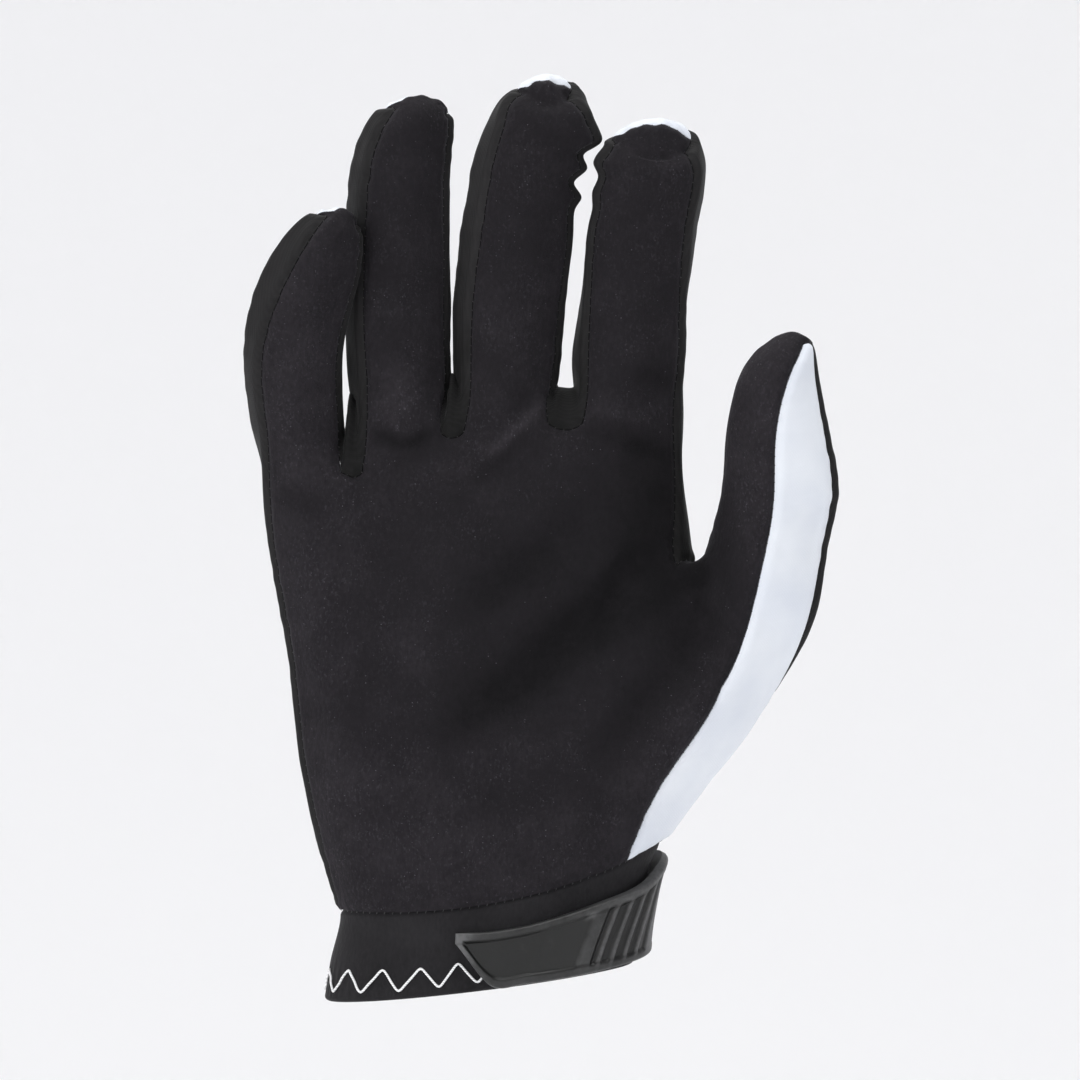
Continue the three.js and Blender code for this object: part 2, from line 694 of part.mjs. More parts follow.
function meshFrom(positions, triangles) {
  const geometry = new THREE.BufferGeometry();
  const flat = positions.flatMap((p) => [p.x, p.y, p.z]);
  geometry.setAttribute("position", new THREE.Float32BufferAttribute(flat, 3));
  geometry.setIndex(triangles.flat());
  geometry.computeVertexNormals();
  return geometry;
}

// A panel: its quads with a wall behind them, held back from the seams by half the seam gap
function panelGeometry(skin, panel, wall) {
  const own = skin.faces.filter((face) => face.panel === panel);
  const border = new Map();
  own.forEach(({ corners }) =>
    corners.forEach((corner, k) => {
      const next = corners[(k + 1) % 4];
      if (border.has(`${next}/${corner}`)) border.delete(`${next}/${corner}`);
      else border.set(`${corner}/${next}`, [corner, next]);
    }),
  );
  const inward = new Map();
  border.forEach(([from, to]) => {
    const along = skin.points[to].clone().sub(skin.points[from]).normalize();
    [from, to].forEach((corner) => {
      const across = skin.normals[corner].clone().cross(along).normalize();
      inward.set(corner, [...(inward.get(corner) ?? []), across]);
    });
  });
  const index = new Map();
  const outer = [];
  const inner = [];
  own.forEach(({ corners }) =>
    corners.forEach((corner) => {
      if (index.has(corner)) return;
      index.set(corner, outer.length);
      const place = skin.points[corner].clone();
      if (inward.has(corner)) {
        const [a, b] = inward.get(corner);
        const room = Math.max(0.4, 1 + a.dot(b));
        place.addScaledVector(a.clone().add(b), SEAM_GAP / 2 / room);
      }
      outer.push(place);
      inner.push(place.clone().addScaledVector(skin.normals[corner], -wall));
    }),
  );
  const count = outer.length;
  const triangles = [];
  own.forEach(({ corners }) => {
    const [a, b, c, d] = corners.map((corner) => index.get(corner));
    triangles.push([a, b, c], [a, c, d]);
    triangles.push([count + a, count + c, count + b], [count + a, count + d, count + c]);
  });
  border.forEach(([from, to]) => {
    const [a, b] = [index.get(from), index.get(to)];
    triangles.push([a, count + a, count + b], [a, count + b, b]);
  });
  return meshFrom([...outer, ...inner], triangles);
}

// A closed slab on a grid of places: upper and lower give its two faces, and a ring closes on itself
function slabGeometry(columns, rows, upper, lower, ring) {
  const positions = [];
  [upper, lower].forEach((face) => {
    for (let i = 0; i < columns; i++) {
      for (let j = 0; j < rows; j++) positions.push(face(i, j));
    }
  });
  const at = (i, j, face) => face * columns * rows + (i % columns) * rows + j;
  const triangles = [];
  const quad = (a, b, c, d) => triangles.push([a, b, c], [a, c, d]);
  const spans = ring ? columns : columns - 1;
  for (let i = 0; i < spans; i++) {
    for (let j = 0; j < rows - 1; j++) {
      quad(at(i, j, 0), at(i + 1, j, 0), at(i + 1, j + 1, 0), at(i, j + 1, 0));
      quad(at(i, j, 1), at(i, j + 1, 1), at(i + 1, j + 1, 1), at(i + 1, j, 1));
    }
    quad(at(i, 0, 0), at(i, 0, 1), at(i + 1, 0, 1), at(i + 1, 0, 0));
    const top = rows - 1;
    quad(at(i, top, 0), at(i + 1, top, 0), at(i + 1, top, 1), at(i, top, 1));
  }
  if (!ring) {
    const end = columns - 1;
    for (let j = 0; j < rows - 1; j++) {
      quad(at(0, j, 0), at(0, j + 1, 0), at(0, j + 1, 1), at(0, j, 1));
      quad(at(end, j, 0), at(end, j, 1), at(end, j + 1, 1), at(end, j + 1, 0));
    }
  }
  return meshFrom(positions, triangles);
}

// The cuff: a ring of wall from the hem to just under the palm
function cuffGeometry() {
  const turn = (i) => Math.PI - (i / CUFF_STEPS) * 2 * Math.PI;
  const drop = (2 * SEAM_GAP) / (CUFF_HEIGHT - CUFF_HEM_TILT / 2);
  const rise = (j) => (j / CUFF_ROWS) * (1 - drop);
  return slabGeometry(
    CUFF_STEPS,
    CUFF_ROWS + 1,
    (i, j) => cuffPoint(turn(i), rise(j)),
    (i, j) => cuffPoint(turn(i), rise(j), -CUFF_WALL),
    true,
  );
}

// The angle round the cuff at a distance from the tab's tip, at mid height
function cuffAngle(distance) {
  const step = DEGREE / 2;
  const middle = TAB_HEIGHT / CUFF_HEIGHT / 3;
  let angle = Math.PI / 2;
  while (cuffPoint(angle, middle).x > TAB_TIP_X) angle += step;
  let left = distance;
  while (left > 0) {
    const length = cuffPoint(angle - step, middle).distanceTo(cuffPoint(angle, middle));
    angle -= step * Math.min(1, left / length);
    left -= length;
  }
  return angle;
}

// A point over the cuff where the tab is: along and across are shares of its outline
function tabPoint(along, across, out) {
  const top = column(TAB_OUTLINE, "along", along, "top") * TAB_HEIGHT;
  const bottom = column(TAB_OUTLINE, "along", along, "bottom") * TAB_HEIGHT;
  const up = bottom + across * (top - bottom);
  const slant = TAB_SLANT * (up / TAB_HEIGHT - 0.5) * Math.min(1, along * 3);
  const angle = cuffAngle(along * (TAB_LENGTH - TAB_SLANT) + slant + TAB_SLANT / 2);
  const x = cuffPoint(angle, 0.5).x;
  const rise = up / (seamHeight(x) - hemHeight(x));
  return cuffPoint(angle, rise, out);
}

// The tab's grid along it: the rim, the sunk field, the smooth facet before the ribs, the ribs'
// crests and valleys, and the end
function tabPlaces() {
  const pitch = (TAB_RIBS_TO - TAB_RIBS_FROM) / TAB_RIBS;
  const rim = TAB_RIM / TAB_LENGTH;
  const facet = TAB_RIBS_FROM - TAB_FACET;
  const places = [0, rim].map((along) => ({ along, raised: 1 }));
  [0.25, 0.5, 0.75, 1].forEach((share) => places.push({ along: share * facet, raised: 0 }));
  [0.25, 0.8].forEach((share) => places.push({ along: facet + share * TAB_FACET, raised: 1 }));
  for (let k = 0; k < TAB_RIBS; k++) {
    const start = TAB_RIBS_FROM + k * pitch;
    [0.1, 0.25, 0.6, 0.75].forEach((share, n) => {
      places.push({ along: start + share * pitch, raised: n === 1 || n === 2 ? 1 : 0 });
    });
  }
  [0.14, 0.28, 0.42, 0.58, 0.78].forEach((share) => {
    places.push({ along: TAB_RIBS_TO + share * (1 - TAB_RIBS_TO), raised: 0 });
  });
  places.push({ along: 1 - 1.4 * rim, raised: 0 });
  places.push({ along: 1 - rim, raised: 1 }, { along: 1, raised: 1 });
  return places;
}

function tabGeometry() {
  const seat = TAB_CLEARANCE + PAD_THICKNESS + TAB_CLEARANCE;
  const places = tabPlaces();
  const rim = TAB_RIM / TAB_HEIGHT;
  const across = [0, 0.6 * rim, 1.3 * rim, 1.9 * rim, 1 - 1.9 * rim, 1 - 1.3 * rim];
  across.push(1 - 0.6 * rim, 1);
  const last = across.length - 1;
  const height = (i, j) => {
    const edge = Math.min(j, last - j);
    if (edge === 0 || i === 0 || i === places.length - 1) return 0.55 * TAB_THICKNESS;
    if (edge < 3 || places[i].raised) return TAB_THICKNESS;
    return TAB_THICKNESS - TAB_RECESS;
  };
  return slabGeometry(
    places.length,
    across.length,
    (i, j) => tabPoint(places[i].along, across[j], seat + height(i, j)),
    (i, j) => tabPoint(places[i].along, across[j], seat),
    false,
  );
}

// The fastening pad between the tab and the cuff
function padGeometry() {
  const steps = PAD_STEPS;
  const margin = PAD_MARGIN / TAB_HEIGHT;
  const along = (i) => PAD_FROM + (i / steps) * (PAD_TO - PAD_FROM);
  const across = [margin, 0.5, 1 - 1.5 * margin];
  return slabGeometry(
    steps + 1,
    across.length,
    (i, j) => tabPoint(along(i), across[j], TAB_CLEARANCE + PAD_THICKNESS),
    (i, j) => tabPoint(along(i), across[j], TAB_CLEARANCE),
    false,
  );
}

const SUEDE = { color: 0x242226, roughness: 0.95 };
const STRETCH = { color: 0x1d1e1f, roughness: 0.85 };
const WHITE = { color: 0xe4e7ee, roughness: 0.8 };
const KNIT = { color: 0x232325, roughness: 0.9 };
const RUBBER = { color: 0x232224, roughness: 0.5 };
const PANELS = {
  palm_panel: SUEDE,
  back_panel: WHITE,
  thumb_side_panel: WHITE,
  thumb_back_panel: STRETCH,
  fourchette_pinky_ring: STRETCH,
  fourchette_ring_middle: STRETCH,
  fourchette_middle_index: STRETCH,
  pinky_side_strip: STRETCH,
  index_side_strip: STRETCH,
};

function named(name, geometry, finish) {
  const material = new THREE.MeshStandardMaterial({ ...finish, metalness: 0 });
  const mesh = new THREE.Mesh(geometry, material);
  mesh.name = name;
  return mesh;
}

const glove = new THREE.Group();
const cage = buildCage();
const skin = subdivided(fitted(cage), cage.faces);
skin.points = limits(skin.points, neighbours(skin.points.length, skin.faces));
outwards(skin.points, skin.faces).forEach((normal, k) => {
  const facing = THREE.MathUtils.clamp(-normal.y, 0, 1);
  skin.points[k].addScaledVector(normal, -foldDepth(skin.points[k]) * facing);
});
skin.normals = outwards(skin.points, skin.faces);
Object.entries(PANELS).forEach(([name, finish]) => {
  glove.add(named(name, panelGeometry(skin, name, PANEL_WALL), finish));
});
glove.add(named("cuff", cuffGeometry(), KNIT));
glove.add(named("wrist_tab", tabGeometry(), RUBBER));
glove.add(named("hook_pad", padGeometry(), KNIT));

export default glove;
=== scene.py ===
"""A right-hand motocross glove, dressed in its cloth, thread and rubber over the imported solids.

The palm faces -Y, the fingers point up along +Z and the thumb is towards +X. The classes hold
their sizes in millimetres and the meshes are in metres.
"""

import json
import logging
import math
from collections.abc import Sequence
from dataclasses import dataclass, field
from enum import Enum
from typing import Any

import bpy
import numpy as np
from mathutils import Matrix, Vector, noise
from mathutils.kdtree import KDTree

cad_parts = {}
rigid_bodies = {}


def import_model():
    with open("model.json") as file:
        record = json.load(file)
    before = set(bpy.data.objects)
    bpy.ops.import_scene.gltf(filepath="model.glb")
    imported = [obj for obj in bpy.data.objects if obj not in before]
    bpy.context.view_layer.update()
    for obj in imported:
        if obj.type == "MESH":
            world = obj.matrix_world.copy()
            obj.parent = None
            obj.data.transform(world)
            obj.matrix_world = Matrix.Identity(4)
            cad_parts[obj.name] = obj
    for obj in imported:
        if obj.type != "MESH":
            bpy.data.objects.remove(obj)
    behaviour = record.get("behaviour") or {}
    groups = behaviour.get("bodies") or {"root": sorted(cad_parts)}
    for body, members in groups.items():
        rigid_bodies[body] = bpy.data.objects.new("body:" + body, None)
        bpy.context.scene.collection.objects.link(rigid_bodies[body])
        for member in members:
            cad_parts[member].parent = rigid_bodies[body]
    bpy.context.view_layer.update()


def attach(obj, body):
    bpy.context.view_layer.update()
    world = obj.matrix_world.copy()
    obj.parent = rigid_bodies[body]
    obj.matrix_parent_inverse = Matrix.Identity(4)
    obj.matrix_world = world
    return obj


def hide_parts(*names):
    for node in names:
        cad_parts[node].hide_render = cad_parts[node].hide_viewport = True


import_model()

Array = np.ndarray
Object = bpy.types.Object
Material = bpy.types.Material

LOG = logging.getLogger("glove")
MM = 0.001
BODY = "root"
# The point attribute that holds each piece's painted light and shade
TONE = "lie"
SHARP_ANGLE = math.radians(55)


def unit(vectors: Array) -> Array:
    """Vectors of length one with the same directions."""
    return vectors / np.maximum(np.linalg.norm(vectors, axis=-1, keepdims=True), 1e-12)


def smooth_step(low: float, high: float, value: Array) -> Array:
    """A soft ramp.

    Args:
        low: Where the ramp starts.
        high: Where it ends.
        value: Where it is read.

    Returns:
        0 before low, 1 after high and an S between them.
    """
    share = np.clip((value - low) / (high - low), 0, 1)
    return share * share * (3 - 2 * share)


def bell(value: Any) -> Any:
    """A bell curve that is 1 at 0 and has fallen to a third at 1."""
    return np.exp(-(value**2))


def lengths_along(points: Array) -> Array:
    """How far along a line each of its points lies."""
    return np.concatenate([[0], np.cumsum(np.linalg.norm(np.diff(points, axis=0), axis=1))])


def bulge(share: Array, roundness: float) -> Array:
    """A superellipse's height at a share of its half width."""
    return (1 - np.minimum(1, np.abs(share)) ** roundness) ** (1 / roundness)


class Column:
    """One column of a table, read smoothly between its rows."""

    def __init__(self, places: Sequence[float], values: Sequence[float]) -> None:
        """Keeps the rows.

        Args:
            places: Where each row stands, rising.
            values: The column's value in each row.
        """
        self.places = np.array(places, float)
        self.values = np.array(values, float)

    def __call__(self, at: Any) -> Any:
        """The column's value at one place or several."""
        x, y = self.places, self.values
        last = len(x) - 1
        k = np.clip(np.searchsorted(x, at), 1, last)
        before, after = np.maximum(k - 2, 0), np.minimum(k + 1, last)
        span = x[k] - x[k - 1]
        t = np.clip((at - x[k - 1]) / span, 0, 1)
        start = (y[k] - y[before]) * span / (x[k] - x[before])
        end = (y[after] - y[k - 1]) * span / (x[after] - x[k - 1])
        return (
            y[k - 1] * (2 * t**3 - 3 * t**2 + 1)
            + start * (t**3 - 2 * t**2 + t)
            + y[k] * (3 * t**2 - 2 * t**3)
            + end * (t**3 - t**2)
        )


# Finishes


def linear(colour: str) -> tuple[float, float, float, float]:
    """An sRGB hex colour as the linear values that shaders take."""
    parts = [int(colour[k : k + 2], 16) / 255 for k in (1, 3, 5)]
    lit = [v / 12.92 if v <= 0.04045 else ((v + 0.055) / 1.055) ** 2.4 for v in parts]
    return (lit[0], lit[1], lit[2], 1.0)


def node(
    tree: bpy.types.NodeTree,
    kind: str,
    settings: dict[str, Any] | None = None,
    inputs: dict[Any, Any] | None = None,
) -> bpy.types.Node:
    """Adds a node with its settings and links.

    Args:
        tree: The node tree that gets the node.
        kind: The node's type name.
        settings: Its properties by name.
        inputs: Its inputs by name or number: a socket is linked and a value is set.

    Returns:
        The new node.
    """
    made = tree.nodes.new(kind)
    for name, value in (settings or {}).items():
        setattr(made, name, value)
    for name, value in (inputs or {}).items():
        if isinstance(value, bpy.types.NodeSocket):
            tree.links.new(value, made.inputs[name])
        else:
            made.inputs[name].default_value = value
    return made


class Finish:
    """A material under construction, read in Object coordinates."""

    def __init__(self, name: str) -> None:
        """Starts a material with only an output.

        Args:
            name: The real material's name.
        """
        self.material = bpy.data.materials.new(name)
        self.material.use_nodes = True
        self.tree = self.material.node_tree
        self.tree.nodes.clear()
        self.place = self.add("ShaderNodeTexCoord").outputs["Object"]

    def add(self, kind: str, settings: dict | None = None, inputs: dict | None = None) -> Any:
        """Adds a node to this material's tree."""
        return node(self.tree, kind, settings, inputs)

    def grain(self, size: float, detail: float = 2.0, stretch: tuple = (1, 1, 1)) -> Any:
        """Soft noise.

        Args:
            size: The size of its patches in millimetres.
            detail: How many finer layers it has.
            stretch: How many times finer it is along X, Y and Z.

        Returns:
            The socket with the noise's value.
        """
        turned = self.add("ShaderNodeMapping", None, {"Vector": self.place, "Scale": stretch})
        inputs = {"Vector": turned.outputs[0], "Scale": 1 / (size * MM), "Detail": detail}
        return self.add("ShaderNodeTexNoise", None, inputs).outputs["Fac"]

    def ramp(self, value: Any, stops: Sequence[tuple[float, str]]) -> Any:
        """Colours over a value.

        Args:
            value: The socket that is read.
            stops: Places with their hex colours.

        Returns:
            The socket with the colour.
        """
        made = self.add("ShaderNodeValToRGB", None, {"Fac": value})
        elements = made.color_ramp.elements
        while len(elements) < len(stops):
            elements.new(0.5)
        for element, (place, colour) in zip(elements, stops):
            element.position = place
            element.color = linear(colour)
        return made.outputs["Color"]

    def math(self, operation: str, a: Any, b: Any = 0.0) -> Any:
        """The result of a Math node on two values or sockets."""
        return self.add("ShaderNodeMath", {"operation": operation}, {0: a, 1: b}).outputs[0]

    def total(self, *parts: tuple[Any, float]) -> Any:
        """The sum of several sockets, each given with its weight."""
        whole = self.math("MULTIPLY", *parts[0])
        for value, weight in parts[1:]:
            whole = self.math("ADD", whole, self.math("MULTIPLY", value, weight))
        return whole

    def above(self, value: Any, middle: float) -> Any:
        """How far a value is above a middle."""
        return self.math("SUBTRACT", value, middle)

    def stretched(self, value: Any, low: float, high: float) -> Any:
        """A value's place between two limits, from 0 to 1."""
        inputs = {"Value": value, "From Min": low, "From Max": high}
        return self.add("ShaderNodeMapRange", None, inputs).outputs[0]

    def painted_light_tone(self) -> Any:
        """The mesh's painted light and shade at a place, kept in its tone attribute."""
        return self.add("ShaderNodeAttribute", {"attribute_name": TONE}).outputs["Fac"]

    def lines(self, way: str, pitch: float, sway: float, turn: float = 0, detail: float = 2) -> Any:
        """Even parallel lines.

        Args:
            way: The direction that they follow each other in.
            pitch: How far apart they are, in millimetres.
            sway: How much they wander.
            turn: Their turn round Y, in degrees.
            detail: How fine their wandering is.

        Returns:
            The socket with their height.
        """
        turned = {"Vector": self.place, "Rotation": (0.0, math.radians(turn), 0.0)}
        place = self.add("ShaderNodeMapping", None, turned).outputs[0]
        settings = {"wave_type": "BANDS", "bands_direction": way, "wave_profile": "SIN"}
        # A wave of this node is 2 pi / 20 of a unit long at scale 1
        scale = math.tau / 20 / (pitch * MM)
        inputs = {"Vector": place, "Scale": scale, "Distortion": sway, "Detail": detail}
        return self.add("ShaderNodeTexWave", settings, inputs).outputs["Fac"]

    def mix(self, share: Any, a: Any, b: Any) -> Any:
        """A colour between two colours."""
        settings = {"data_type": "RGBA"}
        return self.add("ShaderNodeMix", settings, {"Factor": share, 6: a, 7: b}).outputs[2]

    def relief(self, value: Any, depth: float, below: Any = None) -> Any:
        """A bump.

        Args:
            value: The socket with the height as a share of the depth.
            depth: The depth in millimetres.
            below: The normal that it adds to.

        Returns:
            The socket with the new normal.
        """
        inputs = {"Height": value, "Distance": depth * MM, "Strength": 1.0}
        if below is not None:
            inputs["Normal"] = below
        return self.add("ShaderNodeBump", None, inputs).outputs[0]

    def done(self, **values: Any) -> Material:
        """Ends the material in a Principled BSDF with these inputs, spaces written as _."""
        inputs = {name.replace("_", " "): value for name, value in values.items()}
        shader = self.add("ShaderNodeBsdfPrincipled", None, inputs)
        self.add("ShaderNodeOutputMaterial", None, {"Surface": shader.outputs[0]})
        return self.material


@dataclass(frozen=True)
class Microsuede:
    """Synthetic suede: split microfibre, brushed to a short nap.

    The nap makes it matt and very dark, paler where it is seen along the fibres, with clouds
    where it lies another way and fine pale dust and lint caught in it. Painted shade darkens it in
    the hand's hollow and its folds, and painted light makes it paler on ridges and patches.
    """

    deep: str = "#0d0c0e"
    middle: str = "#1c1a1d"
    pale_nap_and_painted_light: str = "#302d31"
    lint: str = "#605f65"
    cloud: float = 9.0
    nap: float = 0.9
    fibre: float = 0.35
    lint_pitch: float = 0.62
    lint_size: float = 0.17
    lint_share: float = 0.12
    dust: float = 0.2

    def make(self) -> Material:
        """Makes the material."""
        finish = Finish("microsuede_black")
        cloud = finish.grain(self.cloud, 4)
        nap = finish.grain(self.nap, 3, (1, 1, 0.6))
        # Painted light and shade from the points: shade in the hollow and folds, light on the ridges
        lie = finish.painted_light_tone()
        tone = finish.total((cloud, 0.2), (nap, 0.25), (lie, 0.55))
        colour = finish.ramp(tone, ((0.2, self.deep), (0.5, self.middle), (0.78, self.pale_nap_and_painted_light)))
        cells = {"Vector": finish.place, "Scale": 1 / (self.lint_pitch * MM)}
        speck = finish.add("ShaderNodeTexVoronoi", None, cells)
        near = finish.math("LESS_THAN", speck.outputs["Distance"], self.lint_size)
        split = finish.add("ShaderNodeSeparateColor", None, {0: speck.outputs["Color"]})
        patches = finish.above(finish.grain(7.0, 3), 0.5)
        swarm = finish.total((patches, 0.35), (finish.above(lie, 0.6), 0.3))
        drawn = finish.math("ADD", split.outputs[0], swarm)
        few = finish.math("GREATER_THAN", drawn, 1 - self.lint_share)
        pale = finish.math("MULTIPLY", near, finish.math("MULTIPLY", few, split.outputs[1]))
        fuzz = finish.stretched(finish.grain(0.55, 2, (1, 1, 0.7)), 0.56, 0.72)
        dusty = finish.math("MULTIPLY", fuzz, finish.stretched(swarm, -0.08, 0.08))
        pale = finish.math("MAXIMUM", pale, finish.math("MULTIPLY", dusty, self.dust))
        colour = finish.mix(pale, colour, linear(self.lint))
        normal = finish.relief(nap, 0.22)
        normal = finish.relief(finish.grain(self.fibre, 2), 0.12, normal)
        return finish.done(
            Base_Color=colour, Roughness=0.92, Normal=normal, Specular_IOR_Level=0.14,
            Sheen_Weight=0.07, Sheen_Roughness=0.4, Sheen_Tint=linear("#d9d6e0"),
        )


class Ribs(Enum):
    """Which way a knit's ribs lie side by side."""

    DEEP = "Y"
    UP = "Z"


@dataclass(frozen=True)
class StretchKnit:
    """Elastane warp knit: fine wales run along the finger.

    The wales catch the light in thin lines, with a faint sheen and a flatter black than suede.
    """

    name: str = "stretch_knit_black"
    valley: str = "#080808"
    crest: str = "#232223"
    ribs: Ribs = Ribs.DEEP
    wale: float = 0.6
    course: float = 0.5
    depth: float = 0.05

    def make(self) -> Material:
        """Makes the material. The wales are drawn about twice as coarse as real ones."""
        finish = Finish(self.name)
        wales = finish.lines(self.ribs.value, self.wale, 0.6, detail=1)
        loops = finish.lines(Ribs.UP.value, self.course, 0.8)
        yarn = finish.total((wales, 0.7), (loops, 0.3))
        # Painted shade from the points darkens the knit down between the fingers, and a few strips are
        # painted paler
        tone = finish.total((yarn, 0.15), (finish.grain(9.0, 3), 0.35), (finish.painted_light_tone(), 0.5))
        colour = finish.ramp(tone, ((0.2, self.valley), (0.7, self.crest)))
        normal = finish.relief(yarn, self.depth)
        return finish.done(
            Base_Color=colour, Roughness=0.78, Normal=normal, Specular_IOR_Level=0.2,
            Sheen_Weight=0.08, Sheen_Roughness=0.35, Sheen_Tint=linear("#e0e2e2"),
        )


@dataclass(frozen=True)
class WovenStretch:
    """Four-way stretch woven polyester, dyed white.

    A fine even weave with a soft grain, white, with a painted cool grey shade in soft random clouds.
    """

    shade: str = "#ced3dc"
    lit: str = "#dadee4"
    thread: float = 0.55

    def make(self) -> Material:
        """Makes the material. The threads are drawn about twice as coarse as real ones."""
        finish = Finish("woven_stretch_white")
        warp, weft = (finish.lines("X", self.thread, 0.4, turn) for turn in (38, -52))
        weave = finish.math("MULTIPLY", warp, weft)
        tone = finish.total((weave, 0.1), (finish.grain(14.0, 3), 0.9))
        colour = finish.ramp(tone, ((0.25, self.shade), (0.65, self.lit)))
        normal = finish.relief(weave, 0.02)
        return finish.done(
            Base_Color=colour, Roughness=0.8, Normal=normal, Specular_IOR_Level=0.25,
            Sheen_Weight=0.15, Sheen_Roughness=0.5,
        )


@dataclass(frozen=True)
class NeopreneJersey:
    """Neoprene foam laminated with a black nylon jersey.

    The jersey is smooth with a fine stitch grain, matt, and a little paler than the suede.
    """

    name: str = "neoprene_jersey_black"
    valley: str = "#131214"
    crest: str = "#252426"
    stitch: float = 0.7

    def make(self) -> Material:
        """Makes the material."""
        finish = Finish(self.name)
        grain = finish.grain(self.stitch, 2, (1, 1, 0.5))
        tone = finish.total((grain, 0.4), (finish.grain(18.0, 3), 0.6))
        colour = finish.ramp(tone, ((0.3, self.valley), (0.72, self.crest)))
        normal = finish.relief(grain, 0.12)
        return finish.done(
            Base_Color=colour, Roughness=0.85, Normal=normal, Specular_IOR_Level=0.2,
            Sheen_Weight=0.06, Sheen_Roughness=0.4,
        )


@dataclass(frozen=True)
class MouldedRubber:
    """Thermoplastic rubber, injection moulded with a fine spark-eroded texture.

    It is satin, so its rim and ribs carry soft highlights. Its grooves are painted near black as
    shade, and its ribs, rim and end are painted grey, partly as dust and rubbing in small blotches
    and partly as painted highlight.
    """

    painted_groove_shade: str = "#060606"
    body: str = "#0f100f"
    # The palest colour: dust on the ribs, rim and end, and painted highlight there as well
    dust: str = "#565657"
    texture: float = 0.45

    def make(self) -> Material:
        """Makes the material."""
        finish = Finish("moulded_rubber_black")
        pits = finish.grain(self.texture, 2)
        # The tab's painted light and shade, which also sets where dust and rubbing show
        rubbed_and_painted_light = finish.painted_light_tone()
        blotch = finish.above(finish.grain(1.1, 4), 0.5)
        blotch = finish.math("MULTIPLY", blotch, finish.math("POWER", rubbed_and_painted_light, 3.0))
        wear_and_painted_light = finish.total((rubbed_and_painted_light, 1), (blotch, 1), (finish.above(finish.grain(5.0, 2), 0.5), 0.25))
        colour = finish.ramp(wear_and_painted_light, ((0.05, self.painted_groove_shade), (0.45, self.body), (1.0, self.dust)))
        shine = finish.add("ShaderNodeMapRange", None, {"Value": wear_and_painted_light, "To Min": 0.34, "To Max": 0.55})
        normal = finish.relief(pits, 0.05)
        return finish.done(
            Base_Color=colour, Roughness=shine.outputs[0], Normal=normal, Specular_IOR_Level=0.4,
        )


@dataclass(frozen=True)
class SewingThread:
    """Bonded polyester thread of several twisted plies.

    The plies show as short slanting lines with a dull silk shine.
    """

    name: str
    shade: str
    lit: str
    ply: float = 0.35

    def make(self) -> Material:
        """Makes the material."""
        finish = Finish(self.name)
        plies = finish.lines("DIAGONAL", self.ply, 0.5, 35)
        colour = finish.ramp(plies, ((0.1, self.shade), (0.7, self.lit)))
        return finish.done(
            Base_Color=colour, Roughness=0.55, Normal=finish.relief(plies, 0.05), Sheen_Weight=0.2,
        )


@dataclass(frozen=True)
class StudioPaper:
    """Seamless background paper: matt, nearly white, with no grain to see at this distance."""

    colour: str = "#f7f7f8"

    def make(self) -> Material:
        """Makes the material."""
        finish = Finish("studio_paper_white")
        cloud = finish.grain(900.0, 2)
        colour = finish.ramp(cloud, ((0.0, "#f5f5f7"), (1.0, self.colour)))
        return finish.done(Base_Color=colour, Roughness=0.95, Specular_IOR_Level=0.1)


# The glove's form


@dataclass(frozen=True)
class Gathers:
    """Puckers of one edge of a finger. edge is 1 towards the thumb; start and end are shares of
    the finger's length, and height is in millimetres."""

    edge: int
    start: float
    end: float
    waves: float
    height: float


@dataclass(frozen=True)
class Section:
    """A section of a finger or the thumb. up and bow are shares of its length, side and wide of
    its width and deep of its depth. tilt leans it and turn moves its seams round it, in degrees;
    the thumb's turn is the angle of the suede's seam."""

    up: float
    side: float
    wide: float
    deep: float
    bow: float
    tilt: float
    turn: float


@dataclass(frozen=True)
class Finger:
    """A finger. Its width and depth are those at its base and gap is the web on its thumb side.
    base, crotch and crest are shares of the palm's height: those of its foot, of the seam
    between it and the next finger, and of the web behind that seam. tip_show is how far the palm
    side of the tip drops and its back rises, so that the back's cloth shows over the tip."""

    name: str
    length: float
    width: float
    depth: float
    base: float
    crotch: float
    crest: float
    gap: float
    tip_side: float
    tip_bow: float
    tip_over: float
    gathers: Gathers | None
    rows: tuple[Section, ...]
    tip_show: float = 0.0


PINKY = Finger(
    "pinky", 63.2, 20.8, 17, 0.9, 0.905, 1.06, 1.6, 0.48, 0.2, 0, None,
    (
        Section(0.15, -0.06, 1.02, 1.08, 0.02, 0, 10),
        Section(0.3, -0.115, 1.06, 1, 0.05, 0, 13),
        Section(0.46, -0.125, 1.085, 1, 0.09, 1, 18),
        Section(0.61, -0.05, 1.08, 0.97, 0.13, 7, 26),
        Section(0.76, 0.11, 1.01, 0.92, 0.17, 15, 32),
        Section(0.89, 0.285, 0.8, 0.78, 0.195, 18, 34),
        Section(0.96, 0.38, 0.52, 0.52, 0.2, 16, 34),
    ),
)
RING = Finger(
    "ring", 82, 22.6, 18.5, 0.975, 0.985, 1.1, 1.6, 0.25, 0.05, 0, None,
    (
        Section(0.13, -0.02, 1.03, 1.08, 0, 0, 14),
        Section(0.28, -0.045, 1.065, 1, 0, 0, 15),
        Section(0.44, -0.05, 1.07, 1, 0.005, 0, 15),
        Section(0.6, -0.045, 1.055, 0.98, 0.015, 0, 16),
        Section(0.75, -0.03, 1.01, 0.95, 0.03, 2, 18),
        Section(0.87, 0.045, 0.93, 0.86, 0.045, 5, 20),
        Section(0.955, 0.15, 0.7, 0.64, 0.05, 5, 20),
    ),
)
